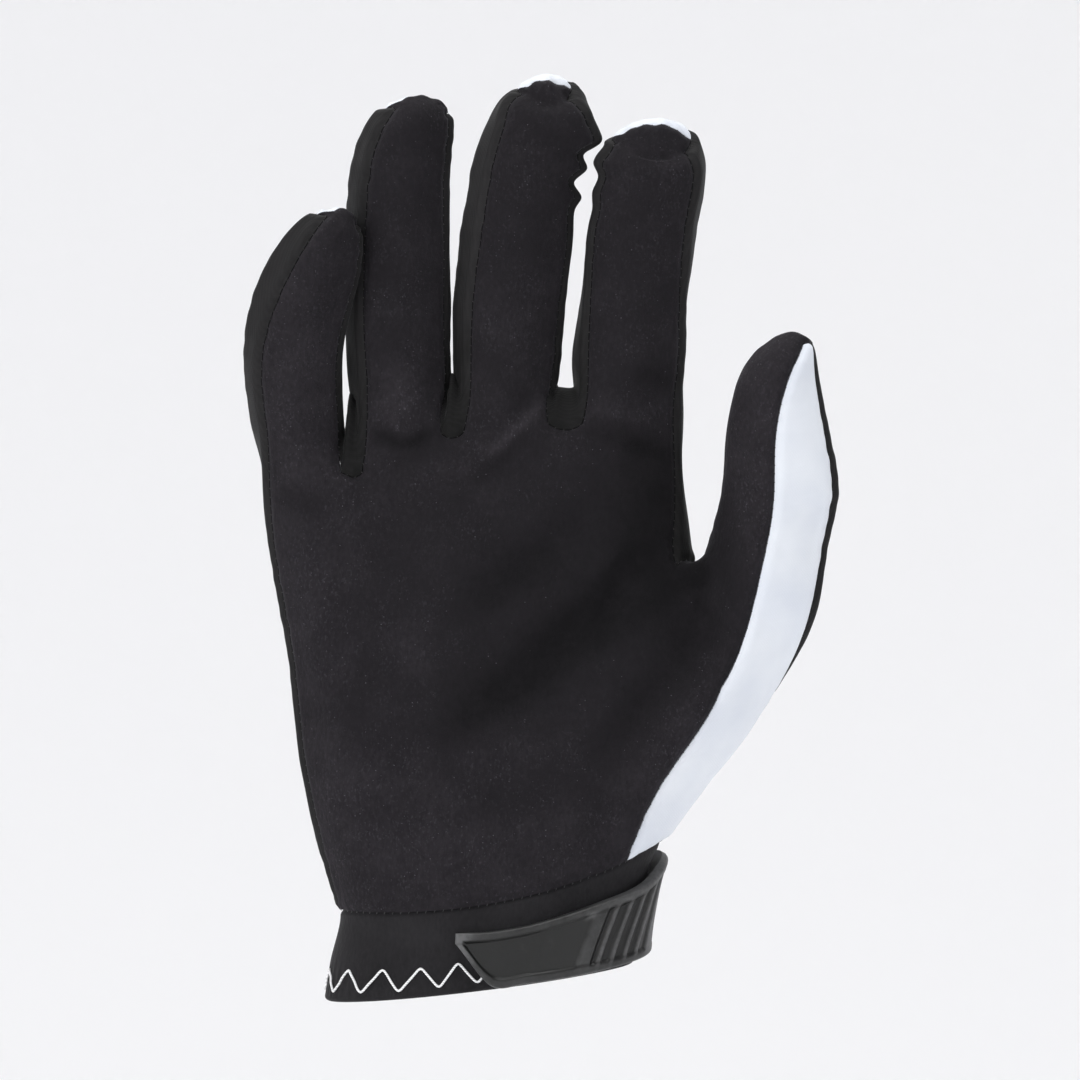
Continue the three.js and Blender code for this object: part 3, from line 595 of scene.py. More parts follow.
MIDDLE = Finger(
    "middle", 84, 24, 19, 0.995, 1.005, 1.08, 4.1, 0.37, 0.055, 0.18,
    Gathers(1, 0.63, 0.832, 2.5, 2.2),
    (
        Section(0.14, 0, 1.01, 1.08, 0, 0, 12),
        Section(0.33, 0.03, 1.07, 1, 0.003, 0, 13),
        Section(0.53, 0.1, 1.09, 1, 0.015, 2, 16),
        Section(0.63, 0.14, 1.045, 0.98, 0.025, 3, 16),
        Section(0.75, 0.215, 1.045, 0.96, 0.035, 4, 16),
        Section(0.872, 0.37, 1.07, 0.9, 0.045, 4, 10),
        Section(0.94, 0.38, 0.87, 0.78, 0.05, 2, 4),
        Section(0.978, 0.38, 0.56, 0.54, 0.055, 0, 2),
    ),
    tip_show=3.6,
)
INDEX = Finger(
    "index", 71, 26.2, 19, 1.02, 1.02, 1.02, 0, 0.255, 0.065, 0.18,
    Gathers(-1, 0.7, 0.925, 2, 1),
    (
        Section(0.18, 0.01, 1.01, 1.06, 0, 0, 8),
        Section(0.39, 0.055, 0.99, 1, 0.003, 0, 2),
        Section(0.6, 0.12, 0.99, 0.98, 0.02, 2, -4),
        Section(0.7, 0.17, 0.98, 0.96, 0.035, 2, -5),
        Section(0.8, 0.205, 0.99, 0.92, 0.045, 1, -5),
        Section(0.9, 0.205, 0.955, 0.84, 0.06, 0, -4),
        Section(0.955, 0.215, 0.75, 0.64, 0.065, 0, -4),
    ),
    tip_show=4.6,
)
FINGERS = (PINKY, RING, MIDDLE, INDEX)
COLUMNS = 3 * len(FINGERS)
THUMB_INNER = (192, 158)
THUMB_OUTER = (13, -38, -88, -132)


@dataclass(frozen=True)
class PalmRow:
    """A row of the palm. rise and radial are how far up it stands on the ulnar and the thumb
    side; left, seam and right are shares of the palm's width, front and back of its depth."""

    rise: float
    radial: float
    left: float
    seam: float
    right: float
    drop: float
    front: float
    back: float


@dataclass(frozen=True)
class Fold:
    """A soft fold on the palm side: its two ends and half width in millimetres, and its depth,
    which is negative where the cloth stands up as a roll."""

    from_x: float
    from_z: float
    to_x: float
    to_z: float
    width: float
    depth: float

    def depth_at(self, points: Array) -> Array:
        """How deep the fold is at each point."""
        start = np.array([self.from_x, self.from_z])
        along = np.array([self.to_x, self.to_z]) - start
        off = points[:, [0, 2]] - start
        share = np.clip(off @ along / (along @ along), 0, 1)
        away = np.linalg.norm(off - share[:, None] * along, axis=1) / self.width
        return self.depth * bell(away) * np.sqrt(np.sin(np.pi * share))


@dataclass(frozen=True)
class Patch:
    """A patch of painted light that makes the cloth paler, or of painted shade that makes it
    darker where the amount is below 0. Its middle and its half width and height are in millimetres."""

    x: float
    z: float
    wide: float
    tall: float
    amount: float

    def amount_at(self, points: Array) -> Array:
        """How much the patch adds at each point."""
        across, up = (points[:, 0] - self.x) / self.wide, (points[:, 2] - self.z) / self.tall
        return self.amount * bell(across) * bell(up)


@dataclass
class Cuff:
    """The neoprene cuff: an open ring with a rolled hem, slanted and higher on the thumb side."""

    width: float = 76
    depth: float = 43
    height: float = 21.5
    hem_tilt: float = 9
    seam_rise: float = 15
    wall: float = 2
    roundness: float = 2.25
    hem_curve: float = 1.3
    seam_curve: float = 2.6
    steps: int = 360
    rows: int = 44
    tuck: float = 0.7
    hem_round: float = 0.35
    dents: float = 0.35
    pull: float = 0.22
    puckers: float = 0.1
    roll: float = 0.6
    thread_rise: float = 0.24
    waves: int = 62

    def __post_init__(self) -> None:
        """Sets up the sections' columns, from the hem to the seam."""
        rise = (0, 0.45, 0.85, 1)
        self.left = Column(rise, (0.52, 0.495, 0.472, 0.468))
        self.right = Column(rise, (0.455, 0.475, 0.51, 0.548))
        self.deep = Column(rise, (1, 0.99, 0.985, 0.99))

    def across(self, x: Array) -> Array:
        """How far across the cuff a place is, from 0 to a little over 1."""
        return np.clip(x / self.width + 0.5, 0, 1.1)

    def hem(self, x: Array) -> Array:
        """The hem's height at places across the cuff."""
        return self.hem_tilt * (self.across(x) ** self.hem_curve - 0.5)

    def seam(self, x: Array) -> Array:
        """The height of the seam with the palm at places across the cuff."""
        rise = self.seam_rise * self.across(x) ** self.seam_curve
        return self.height - self.hem_tilt * 0.5 + rise

    def surface(self, angle: Any, rise: Any) -> Array:
        """Points on the outer surface.

        Args:
            angle: Radians from the thumb edge over the palm side.
            rise: 0 at the hem and 1 at the seam.

        Returns:
            The points, in millimetres.
        """
        angle, rise = np.broadcast_arrays(np.asarray(angle, float), np.asarray(rise, float))
        c, s = np.cos(angle), -np.sin(angle)
        reach = np.where(c > 0, self.right(rise), self.left(rise)) * self.width
        power = 2 / self.roundness
        x = np.sign(c) * np.abs(c) ** power * reach
        y = np.sign(s) * np.abs(s) ** power * self.deep(rise) * self.depth / 2
        low = self.hem(x)
        return np.stack([x, y, low + rise * (self.seam(x) - low)], -1)

    def axes(self, angle: Any, rise: Any) -> tuple[Array, Array]:
        """The directions out of the surface and up along it."""
        step = 0.02
        rise = np.clip(rise, 0, 1)
        around = self.surface(angle - step, rise) - self.surface(angle + step, rise)
        up = self.surface(angle, np.minimum(1, rise + step)) - self.surface(
            angle, np.maximum(0, rise - step)
        )
        return unit(np.cross(around, up)), unit(up)

    def point(self, angle: Any, rise: Any, out: Any) -> Array:
        """Points at a distance off the surface."""
        normal, _ = self.axes(np.asarray(angle, float), np.asarray(rise, float))
        return self.surface(angle, rise) + normal * np.asarray(out, float)[..., None]

    def relief(self, angle: Array, rise: Array) -> Array:
        """How far the soft cuff stands off its even surface: shallow dents and the pull of the
        zigzag thread near the hem."""
        x = self.surface(angle, rise)[..., 0]
        dents = self.dents * np.sin(x / 6.5 + 3.4 * rise) * np.sin(np.pi * rise)
        pull = self.pull * bell((rise - self.thread_rise) / 0.12)
        puckers = self.puckers * np.sin(angle * self.waves) * bell((rise - self.thread_rise) / 0.2)
        return dents - pull + puckers - self.roll * smooth_step(0.95, 1.0, rise)

    def build(self, material: Material) -> Object:
        """Builds the cuff.

        Args:
            material: Its finish.

        Returns:
            The cuff's object.
        """
        angle = np.pi - np.arange(self.steps) / self.steps * 2 * np.pi
        tall = self.height - self.hem_tilt / 2
        top = 1 + self.tuck / tall
        outer = np.linspace(0, top, self.rows)
        turn = np.linspace(0, np.pi, 9)[1:-1]
        edge = self.hem_round * self.wall / tall
        rises = np.concatenate([outer, np.full(2, top), outer[::-1][::4], 0 * turn])
        lip = (-0.65 * self.wall, -0.9 * self.wall)
        outs = np.concatenate([0 * outer, lip, np.full(len(outer[::4]), -self.wall), 0 * turn])
        outs[-len(turn):] = -self.wall / 2 - np.cos(turn) * self.wall / 2
        rises[-len(turn):] = edge * (1 - np.sin(turn))
        rises = np.where(rises < edge, np.where(outs < -0.01, rises, edge), rises)
        grid_angle, grid_rise = np.meshgrid(angle, rises, indexing="ij")
        outside = np.zeros(len(rises))
        outside[: self.rows] = 1
        out = outs[None, :] + outside * self.relief(grid_angle, grid_rise)
        points = self.point(grid_angle, grid_rise, out)
        return grid_object("cuff_neoprene", points, material, closed=(True, True))


@dataclass
class Form:
    """The glove's skin: a cage of quads through a few sections of the palm, the fingers and the
    thumb, smoothed, with a panel's name on every quad."""

    cuff: Cuff = field(default_factory=Cuff)
    palm_height: float = 116
    palm_depth: float = 36
    knuckle_left: float = -54.5
    thumb_length: float = 77.4
    thumb_width: float = 26
    thumb_depth: float = 22
    wrist_step: float = 0.8
    strip_half_arc: float = 32
    knuckle_front: float = 0.325
    knuckle_back: float = 0.335
    knuckle_groove: float = 0.87
    ulnar_inset: float = 0.008
    knuckle_round: float = 3
    palm_round: float = 2.6
    wrist_arc: tuple[float, float] = (170, 40)
    thumb_base: tuple[float, float, float] = (0.425, 0.04, 0.285)
    thumb_tip: tuple[float, float] = (0.575, 0.15)
    nod_from: float = 0.7
    nod_skew: float = 0.45
    nod_sink: float = 0.3
    tip_sink: float = 0.2
    fit_rounds: int = 14
    hole: tuple[int, int] = (2, 4)
    palm_rows: tuple[PalmRow, ...] = (
        PalmRow(0.19, 0.27, 0.125, 0.957, 1.055, 0.02, 0.58, 0.56),
        PalmRow(0.38, 0.46, 0.087, 1.09, 1.215, 0.02, 0.55, 0.5),
        PalmRow(0.57, 0.57, 0.066, 1.04, 1.1, 0, 0.5, 0.47),
        PalmRow(0.73, 0.715, 0.037, 0.99, 1.035, 0, 0.44, 0.44),
        PalmRow(0.87, 0.86, 0.015, 0.985, 1.004, 0, 0.375, 0.385),
    )
    thumb_rows: tuple[Section, ...] = (
        Section(0.227, 0.28, 1.17, 1.14, 0.02, 36, 92),
        Section(0.39, 0.39, 1.03, 1.02, 0.045, 15, 93),
        Section(0.518, 0.455, 1.03, 0.95, 0.07, 6, 96),
        Section(0.653, 0.44, 0.955, 0.88, 0.1, 4, 94),
        Section(0.787, 0.43, 0.81, 0.8, 0.125, 0, 84),
        Section(0.892, 0.46, 0.66, 0.68, 0.14, -2, 68),
        Section(0.96, 0.53, 0.44, 0.45, 0.15, -2, 50),
    )

    def __post_init__(self) -> None:
        """Starts with an empty cage."""
        self.palm_width = sum(finger.width + finger.gap for finger in FINGERS)
        self.targets: list[tuple[float, float, float]] = []
        self.quads: list[tuple[int, int, int, int]] = []
        self.panels: list[str] = []

    def height(self, share: float) -> float:
        """A height above the wrist seam, from a share of the palm's height."""
        return self.cuff.height - self.cuff.hem_tilt * 0.5 + share * self.palm_height

    def point(self, x: float, y: float, z: float) -> int:
        """Adds a point that the skin passes through."""
        self.targets.append((float(x), float(y), float(z)))
        return len(self.targets) - 1

    def quad(self, panel: str, *corners: int) -> None:
        """Adds a quad of a panel."""
        self.quads.append(corners)
        self.panels.append(panel)

    def band(self, lower: list[int], upper: list[int], panels: list[str | None]) -> None:
        """Joins two rings of points, with one panel for each column."""
        for k, corner in enumerate(lower):
            after = (k + 1) % len(lower)
            if panels[k]:
                self.quad(panels[k], corner, lower[after], upper[after], upper[k])

    def cap(self, ring: list[int], tip: int, front: str, back: str) -> None:
        """Closes a ring of eight at a tip."""
        for k in range(0, 8, 2):
            self.quad(front if k < 4 else back, tip, ring[k], ring[k + 1], ring[(k + 2) % 8])

    def finger_rings(self, finger: Finger, x: float, z: float) -> list[list[int]]:
        """The rings of a finger's sections above its foot.

        Args:
            finger: The finger.
            x: The middle of its foot.
            z: Its foot's height.

        Returns:
            Rings of eight points, from the ulnar edge over the palm side.
        """
        ups = [row.up for row in finger.rows]
        names = ("side", "wide", "deep", "bow", "tilt", "turn")
        columns = {name: Column(ups, [getattr(row, name) for row in finger.rows]) for name in names}
        gathers = finger.gathers
        places = [(up, 0.0) for up in ups]
        if gathers:
            inside = (gathers.start - 1e-6, gathers.end + 1e-6)
            places = [(up, 0.0) for up in ups if not inside[0] < up < inside[1]]
            pitch = (gathers.end - gathers.start) / gathers.waves
            for k in range(int(2 * gathers.waves) + 1):
                shift = gathers.height / 2 * (1 if k % 2 else -1)
                places.append((gathers.start + k * pitch / 2, 0.0 if k == 0 else shift))
        rings = []
        edge = gathers.edge if gathers else 1
        arc = self.strip_half_arc
        for up, shift in sorted(places):
            row = {name: float(columns[name](up)) for name in names}
            lean, turn = math.radians(row["tilt"]), row["turn"]
            half, deep = row["wide"] * finger.width / 2, row["deep"] * finger.depth / 2
            middle = (x + row["side"] * finger.width, -row["bow"] * finger.length)
            level = z + up * finger.length
            angles = [turn, arc + turn, 90 + turn / 2, 180 - arc + turn, 180 + turn]
            angles += [180 + arc + turn, 270 + turn / 2, 360 - arc + turn]
            nod = finger.tip_show * float(smooth_step(self.nod_from, 1.0, up))
            ring = []
            for angle in map(math.radians, angles):
                across = -math.cos(angle) * half
                drop = nod * (math.sin(angle) * (1 + self.nod_skew * across / half) + self.nod_sink)
                reach = across + edge * shift * max(0.0, across * edge / half) ** 2
                aside = middle[0] + reach * math.cos(lean)
                high = level - reach * math.sin(lean) - drop
                ring.append(self.point(aside, middle[1] - math.sin(angle) * deep, high))
            rings.append(ring)
        return rings

    def make_cage(self) -> None:
        """Makes the whole cage: palm, webs, fingers and thumb."""
        left = self.knuckle_left
        feet = []
        for finger in FINGERS:
            feet.append((left + finger.width / 2, self.height(finger.base)))
            left += finger.width + finger.gap
        spread = math.cos(math.radians(self.strip_half_arc))
        places = []
        for k, finger in enumerate(FINGERS):
            before = finger.base if k == 0 else FINGERS[k - 1].crotch
            heights = (before, finger.base, finger.crotch)
            for n, share in enumerate((-spread, 0, spread)):
                fill = 1 if n == 1 else self.knuckle_groove
                places.append((feet[k][0] + share * finger.width / 2, self.height(heights[n]), fill))
        knuckles = self.knuckle_ring(places)
        rings = [self.wrist_ring(places), *self.palm_rings(places), knuckles]
        self.palm_quads(rings)
        webs = []
        for k, finger in enumerate(FINGERS[:3]):
            ulnar, crest = feet[k][0] + finger.width / 2, self.height(finger.crest)
            panel = f"fourchette_{finger.name}_{FINGERS[k + 1].name}"
            a, b = self.point(ulnar, 0, crest), self.point(ulnar + finger.gap, 0, crest)
            right, after = 3 * k + 2, 3 * k + 3
            self.quad(panel, knuckles["front"][right], knuckles["front"][after], b, a)
            self.quad(panel, a, b, knuckles["back"][after], knuckles["back"][right])
            webs.append((a, b, panel))
        for k, finger in enumerate(FINGERS):
            self.finger_quads(k, finger, feet[k], knuckles, webs)
        self.thumb_quads(rings)

    def knuckle_ring(self, places: list[tuple[float, float, float]]) -> dict[str, Any]:
        """The ring where the fingers start: three points in front and behind for each."""
        ring: dict[str, Any] = {}
        for side, sign in (("front", -self.knuckle_front), ("back", self.knuckle_back)):
            ring[side] = []
            for x, z, fill in places:
                share = 2 * (x - self.knuckle_left) / self.palm_width - 1
                y = sign * self.palm_depth * fill * float(bulge(np.array(share), self.knuckle_round))
                ring[side].append(self.point(x, y, z))
        ring["ulnar"] = self.point(self.knuckle_left, 0, self.height(PINKY.base))
        ring["radial"] = self.point(self.knuckle_left + self.palm_width, 0, self.height(INDEX.base))
        return ring

    def shares(self, places: list[tuple[float, float, float]]) -> list[float]:
        """Where the knuckles' points lie across the suede, from 0 to 1."""
        first, last = places[0][0], places[-1][0]
        return [(x - first) / (last - first) for x, _, _ in places]

    def wrist_ring(self, places: list[tuple[float, float, float]]) -> dict[str, Any]:
        """The ring at the wrist seam, a step outside the cuff."""
        start, end = map(math.radians, self.wrist_arc)
        ring: dict[str, Any] = {"front": [], "back": []}
        for k, share in enumerate(self.shares(places)):
            even = (share + k / (COLUMNS - 1)) / 2
            at = self.cuff.point(start + even * (end - start), 1.0, self.wrist_step)
            ring["front"].append(self.point(at[0], at[1], at[2]))
            ring["back"].append(self.point(at[0], -at[1], at[2]))
        for name, angle in (("ulnar", math.pi), ("radial", 0.0)):
            at = self.cuff.point(angle, 1.0, self.wrist_step)
            ring[name] = self.point(at[0], 0, at[2])
        return ring

    def palm_rings(self, places: list[tuple[float, float, float]]) -> list[dict[str, Any]]:
        """The rings of the palm's rows."""
        rings = []
        for k, row in enumerate(self.palm_rows):
            start, seam, end = (
                self.knuckle_left + share * self.palm_width for share in (row.left, row.seam, row.right)
            )
            foot = float(self.cuff.seam(np.array(start)))
            low = foot + row.rise * (self.height(PINKY.base) - foot)
            high = self.height(row.radial)
            inset = self.ulnar_inset * self.palm_width
            ring: dict[str, Any] = {"front": [], "back": []}
            for share in self.shares(places):
                x = start + inset + share * (seam - start - inset)
                z = low + (high - low) * share**2
                fill = float(bulge(np.array(2 * (x - start) / (end - start) - 1), self.palm_round))
                ring["front"].append(self.point(x, -row.front * self.palm_depth * fill, z))
                ring["back"].append(self.point(x, row.back * self.palm_depth * fill, z))
            ring["ulnar"] = self.point(start, 0, low)
            ring["radial"] = -1
            if k != self.hole[0]:
                ring["radial"] = self.point(end, 0, high - row.drop * self.palm_height)
            rings.append(ring)
        return rings

    def palm_quads(self, rings: list[dict[str, Any]]) -> None:
        """The palm's quads, apart from the hole that the thumb grows from."""

        def loop(ring: dict[str, Any]) -> list[int]:
            """A ring's points in order."""
            return [ring["ulnar"], *ring["front"], ring["radial"], *reversed(ring["back"])]

        for k, (lower, upper) in enumerate(zip(rings, rings[1:])):
            side: str | None = "thumb_side_panel" if k < self.hole[0] else "index_side_strip"
            if self.hole[0] <= k < self.hole[1]:
                side = None
            panels = ["pinky_side_strip", *["palm_panel"] * (COLUMNS - 1), side, side]
            panels += [*["back_panel"] * (COLUMNS - 1), "pinky_side_strip"]
            self.band(loop(lower), loop(upper), panels)

    def finger_quads(self, k: int, finger: Finger, foot: tuple, knuckles: dict, webs: list) -> None:
        """A finger's quads, from its loop on the knuckles to its tip.

        Args:
            k: The finger's number from the pinky.
            finger: The finger.
            foot: The middle of its foot and its height.
            knuckles: The knuckle ring.
            webs: The two crest points and the panel of each web.
        """
        front, back = knuckles["front"], knuckles["back"]
        ulnar = knuckles["ulnar"] if k == 0 else webs[k - 1][1]
        radial = knuckles["radial"] if k == 3 else webs[k][0]
        ring = [ulnar, *front[3 * k : 3 * k + 3], radial, *reversed(back[3 * k : 3 * k + 3])]
        near = "pinky_side_strip" if k == 0 else webs[k - 1][2]
        far = "index_side_strip" if k == 3 else webs[k][2]
        panels = [near, "palm_panel", "palm_panel", far, far, "back_panel", "back_panel", near]
        for upper in self.finger_rings(finger, *foot):
            self.band(ring, upper, panels)
            ring = upper
        tip = self.point(
            foot[0] + finger.tip_side * finger.width,
            -finger.tip_bow * finger.length - finger.tip_over * finger.depth,
            foot[1] + finger.length - self.tip_sink * finger.tip_show,
        )
        self.cap(ring, tip, "palm_panel", "back_panel")

    def thumb_quads(self, rings: list[dict[str, Any]]) -> None:
        """The thumb's quads, from the loop round the hole in the palm."""
        low, mid, top = (rings[n] for n in (self.hole[0], self.hole[0] + 1, self.hole[1]))
        out, bow, drop = self.thumb_base
        base_x = self.knuckle_left + self.palm_width + out * self.thumb_width
        base_y = -bow * self.thumb_length
        base_z = self.height(self.palm_rows[self.hole[1] - 1].radial) - drop * self.thumb_length
        ring = [top["radial"], top["front"][-1], mid["front"][-1], low["front"][-1]]
        ring += [low["radial"], low["back"][-1], mid["back"][-1], top["back"][-1]]
        panels = [*["palm_panel"] * 3, "thumb_side_panel", *["thumb_back_panel"] * 4]
        for row in self.thumb_rows:
            lean = math.radians(row.tilt)
            angles = [*THUMB_INNER, (THUMB_INNER[1] + row.turn) / 2, row.turn, *THUMB_OUTER]
            upper = []
            for angle in map(math.radians, angles):
                across = math.cos(angle) * row.wide * self.thumb_width / 2
                deep = math.sin(angle) * row.deep * self.thumb_depth / 2
                x = base_x + row.side * self.thumb_width + across * math.cos(lean)
                y = base_y - row.bow * self.thumb_length - deep
                z = base_z + row.up * self.thumb_length - across * math.sin(lean)
                upper.append(self.point(x, y, z))
            self.band(ring, upper, panels)
            ring = upper
        tip = self.point(
            base_x + self.thumb_tip[0] * self.thumb_width,
            base_y - self.thumb_tip[1] * self.thumb_length,
            base_z + self.thumb_length,
        )
        self.cap(ring, tip, "palm_panel", "thumb_back_panel")


class Quads:
    """A mesh of quads with a panel number on each, which Catmull-Clark steps make finer."""

    def __init__(self, points: Array, faces: Array, panels: Array) -> None:
        """Finds the mesh's edges.

        Args:
            points: One row for each point, in millimetres.
            faces: Four corners for each quad.
            panels: Each quad's panel number.
        """
        self.points = points
        self.faces = faces
        self.panels = panels
        count = len(points)
        after = np.roll(faces, -1, axis=1)
        keys = np.minimum(faces, after) * count + np.maximum(faces, after)
        unique, inverse, uses = np.unique(keys.ravel(), return_inverse=True, return_counts=True)
        self.edges = np.stack([unique // count, unique % count], 1)
        self.face_edges = inverse.reshape(-1, 4)
        self.uses = uses
        self.valence = np.bincount(self.edges.ravel(), minlength=count)
        self.rim = self.edges[uses == 1]
        self.on_rim = np.zeros(count, bool)
        self.on_rim[self.rim.ravel()] = True

    def at_corners(self, ids: Array, count: int, values: Array) -> Array:
        """The faces' values summed at each of the points or edges that they touch."""
        total = np.zeros((count, 3))
        np.add.at(total, ids.ravel(), np.repeat(values, 4, axis=0))
        return total

    def gather(self, pairs: Array) -> Array:
        """For each point, the sum of the points that pairs join it to."""
        total = np.zeros_like(self.points)
        np.add.at(total, pairs[:, 0], self.points[pairs[:, 1]])
        np.add.at(total, pairs[:, 1], self.points[pairs[:, 0]])
        return total

    def limits(self) -> Array:
        """Where each point comes to lie on the smooth surface."""
        n = self.valence[:, None]
        diagonals = np.concatenate([self.faces[:, [0, 2]], self.faces[:, [1, 3]]])
        smooth = 4 * self.gather(self.edges) + self.gather(diagonals) + n * n * self.points
        smooth /= n * (n + 5)
        edge = (self.gather(self.rim) + 4 * self.points) / 6
        return np.where(self.on_rim[:, None], edge, smooth)

    def fitted(self, rounds: int) -> "Quads":
        """The mesh whose smooth surface passes through this one's points."""
        targets = self.points.copy()
        made = Quads(self.points.copy(), self.faces, self.panels)
        for _ in range(rounds):
            made.points += targets - made.limits()
        return made

    def finer(self) -> "Quads":
        """One step of Catmull-Clark subdivision. The old points keep their numbers."""
        count, faces = len(self.points), len(self.faces)
        centres = self.points[self.faces].mean(axis=1)
        middles = self.points[self.edges].mean(axis=1)
        around = self.at_corners(self.face_edges, len(middles), centres)
        inner = (self.uses == 2)[:, None]
        edge_points = np.where(inner, middles / 2 + around / 4, middles)
        sums = self.at_corners(self.faces, count, centres)
        n = self.valence[:, None]
        smooth = (self.gather(self.edges) + sums) / (n * n) + self.points * (n - 2) / n
        edge = 0.75 * self.points + 0.125 * self.gather(self.rim)
        moved = np.where(self.on_rim[:, None], edge, smooth)
        centre = count + np.arange(faces)
        mids = count + faces + self.face_edges
        corners = self.faces
        small = [np.stack([corners[:, k], mids[:, k], centre, mids[:, k - 1]], 1) for k in range(4)]
        return Quads(
            np.concatenate([moved, centres, edge_points]),
            np.stack(small, 1).reshape(-1, 4),
            np.repeat(self.panels, 4),
        )

    def normals(self) -> Array:
        """Each point's direction outwards."""
        a, b, c, d = (self.points[self.faces[:, k]] for k in range(4))
        return unit(self.at_corners(self.faces, len(self.points), np.cross(c - a, d - b)))


def placed(name: str, data: Any) -> Object:
    """A new object in the scene, made of a mesh, a light or a camera."""
    made = bpy.data.objects.new(name, data)
    bpy.context.scene.collection.objects.link(made)
    return made


def set_tone(piece: Object, values: Array) -> None:
    """Keeps a tone for each of a piece's points, which its finish reads."""
    tone = piece.data.attributes.new(TONE, "FLOAT", "POINT")
    tone.data.foreach_set("value", values.astype(np.float32))


def mesh_object(name: str, points: Array, faces: Sequence, material: Material) -> Object:
    """Makes an object at the origin from points in millimetres.

    Args:
        name: The piece's name.
        points: Its points.
        faces: Its faces' corners.
        material: Its finish.

    Returns:
        The object, smooth apart from its sharp edges.
    """
    mesh = bpy.data.meshes.new(name)
    mesh.from_pydata((points * MM).tolist(), [], faces)
    mesh.validate()
    mesh.materials.append(material)
    mesh.shade_smooth()
    mesh.set_sharp_from_angle(angle=SHARP_ANGLE)
    return placed(name, mesh)


def grid_object(name: str, points: Array, material: Material, closed: tuple[bool, bool]) -> Object:
    """Makes an object from a grid of points.

    Args:
        name: The piece's name.
        points: The grid, columns by rows by three, in millimetres.
        material: Its finish.
        closed: Whether the columns and the rows close into rings.

    Returns:
        The object.
    """
    columns, rows = points.shape[:2]
    i = np.arange(columns if closed[0] else columns - 1)
    j = np.arange(rows if closed[1] else rows - 1)
    i, j = (grid.ravel() for grid in np.meshgrid(i, j, indexing="ij"))
    a, b = i * rows + j, (i + 1) % columns * rows + j
    c, d = (i + 1) % columns * rows + (j + 1) % rows, i * rows + (j + 1) % rows
    return mesh_object(name, points.reshape(-1, 3), np.stack([a, b, c, d], 1).tolist(), material)


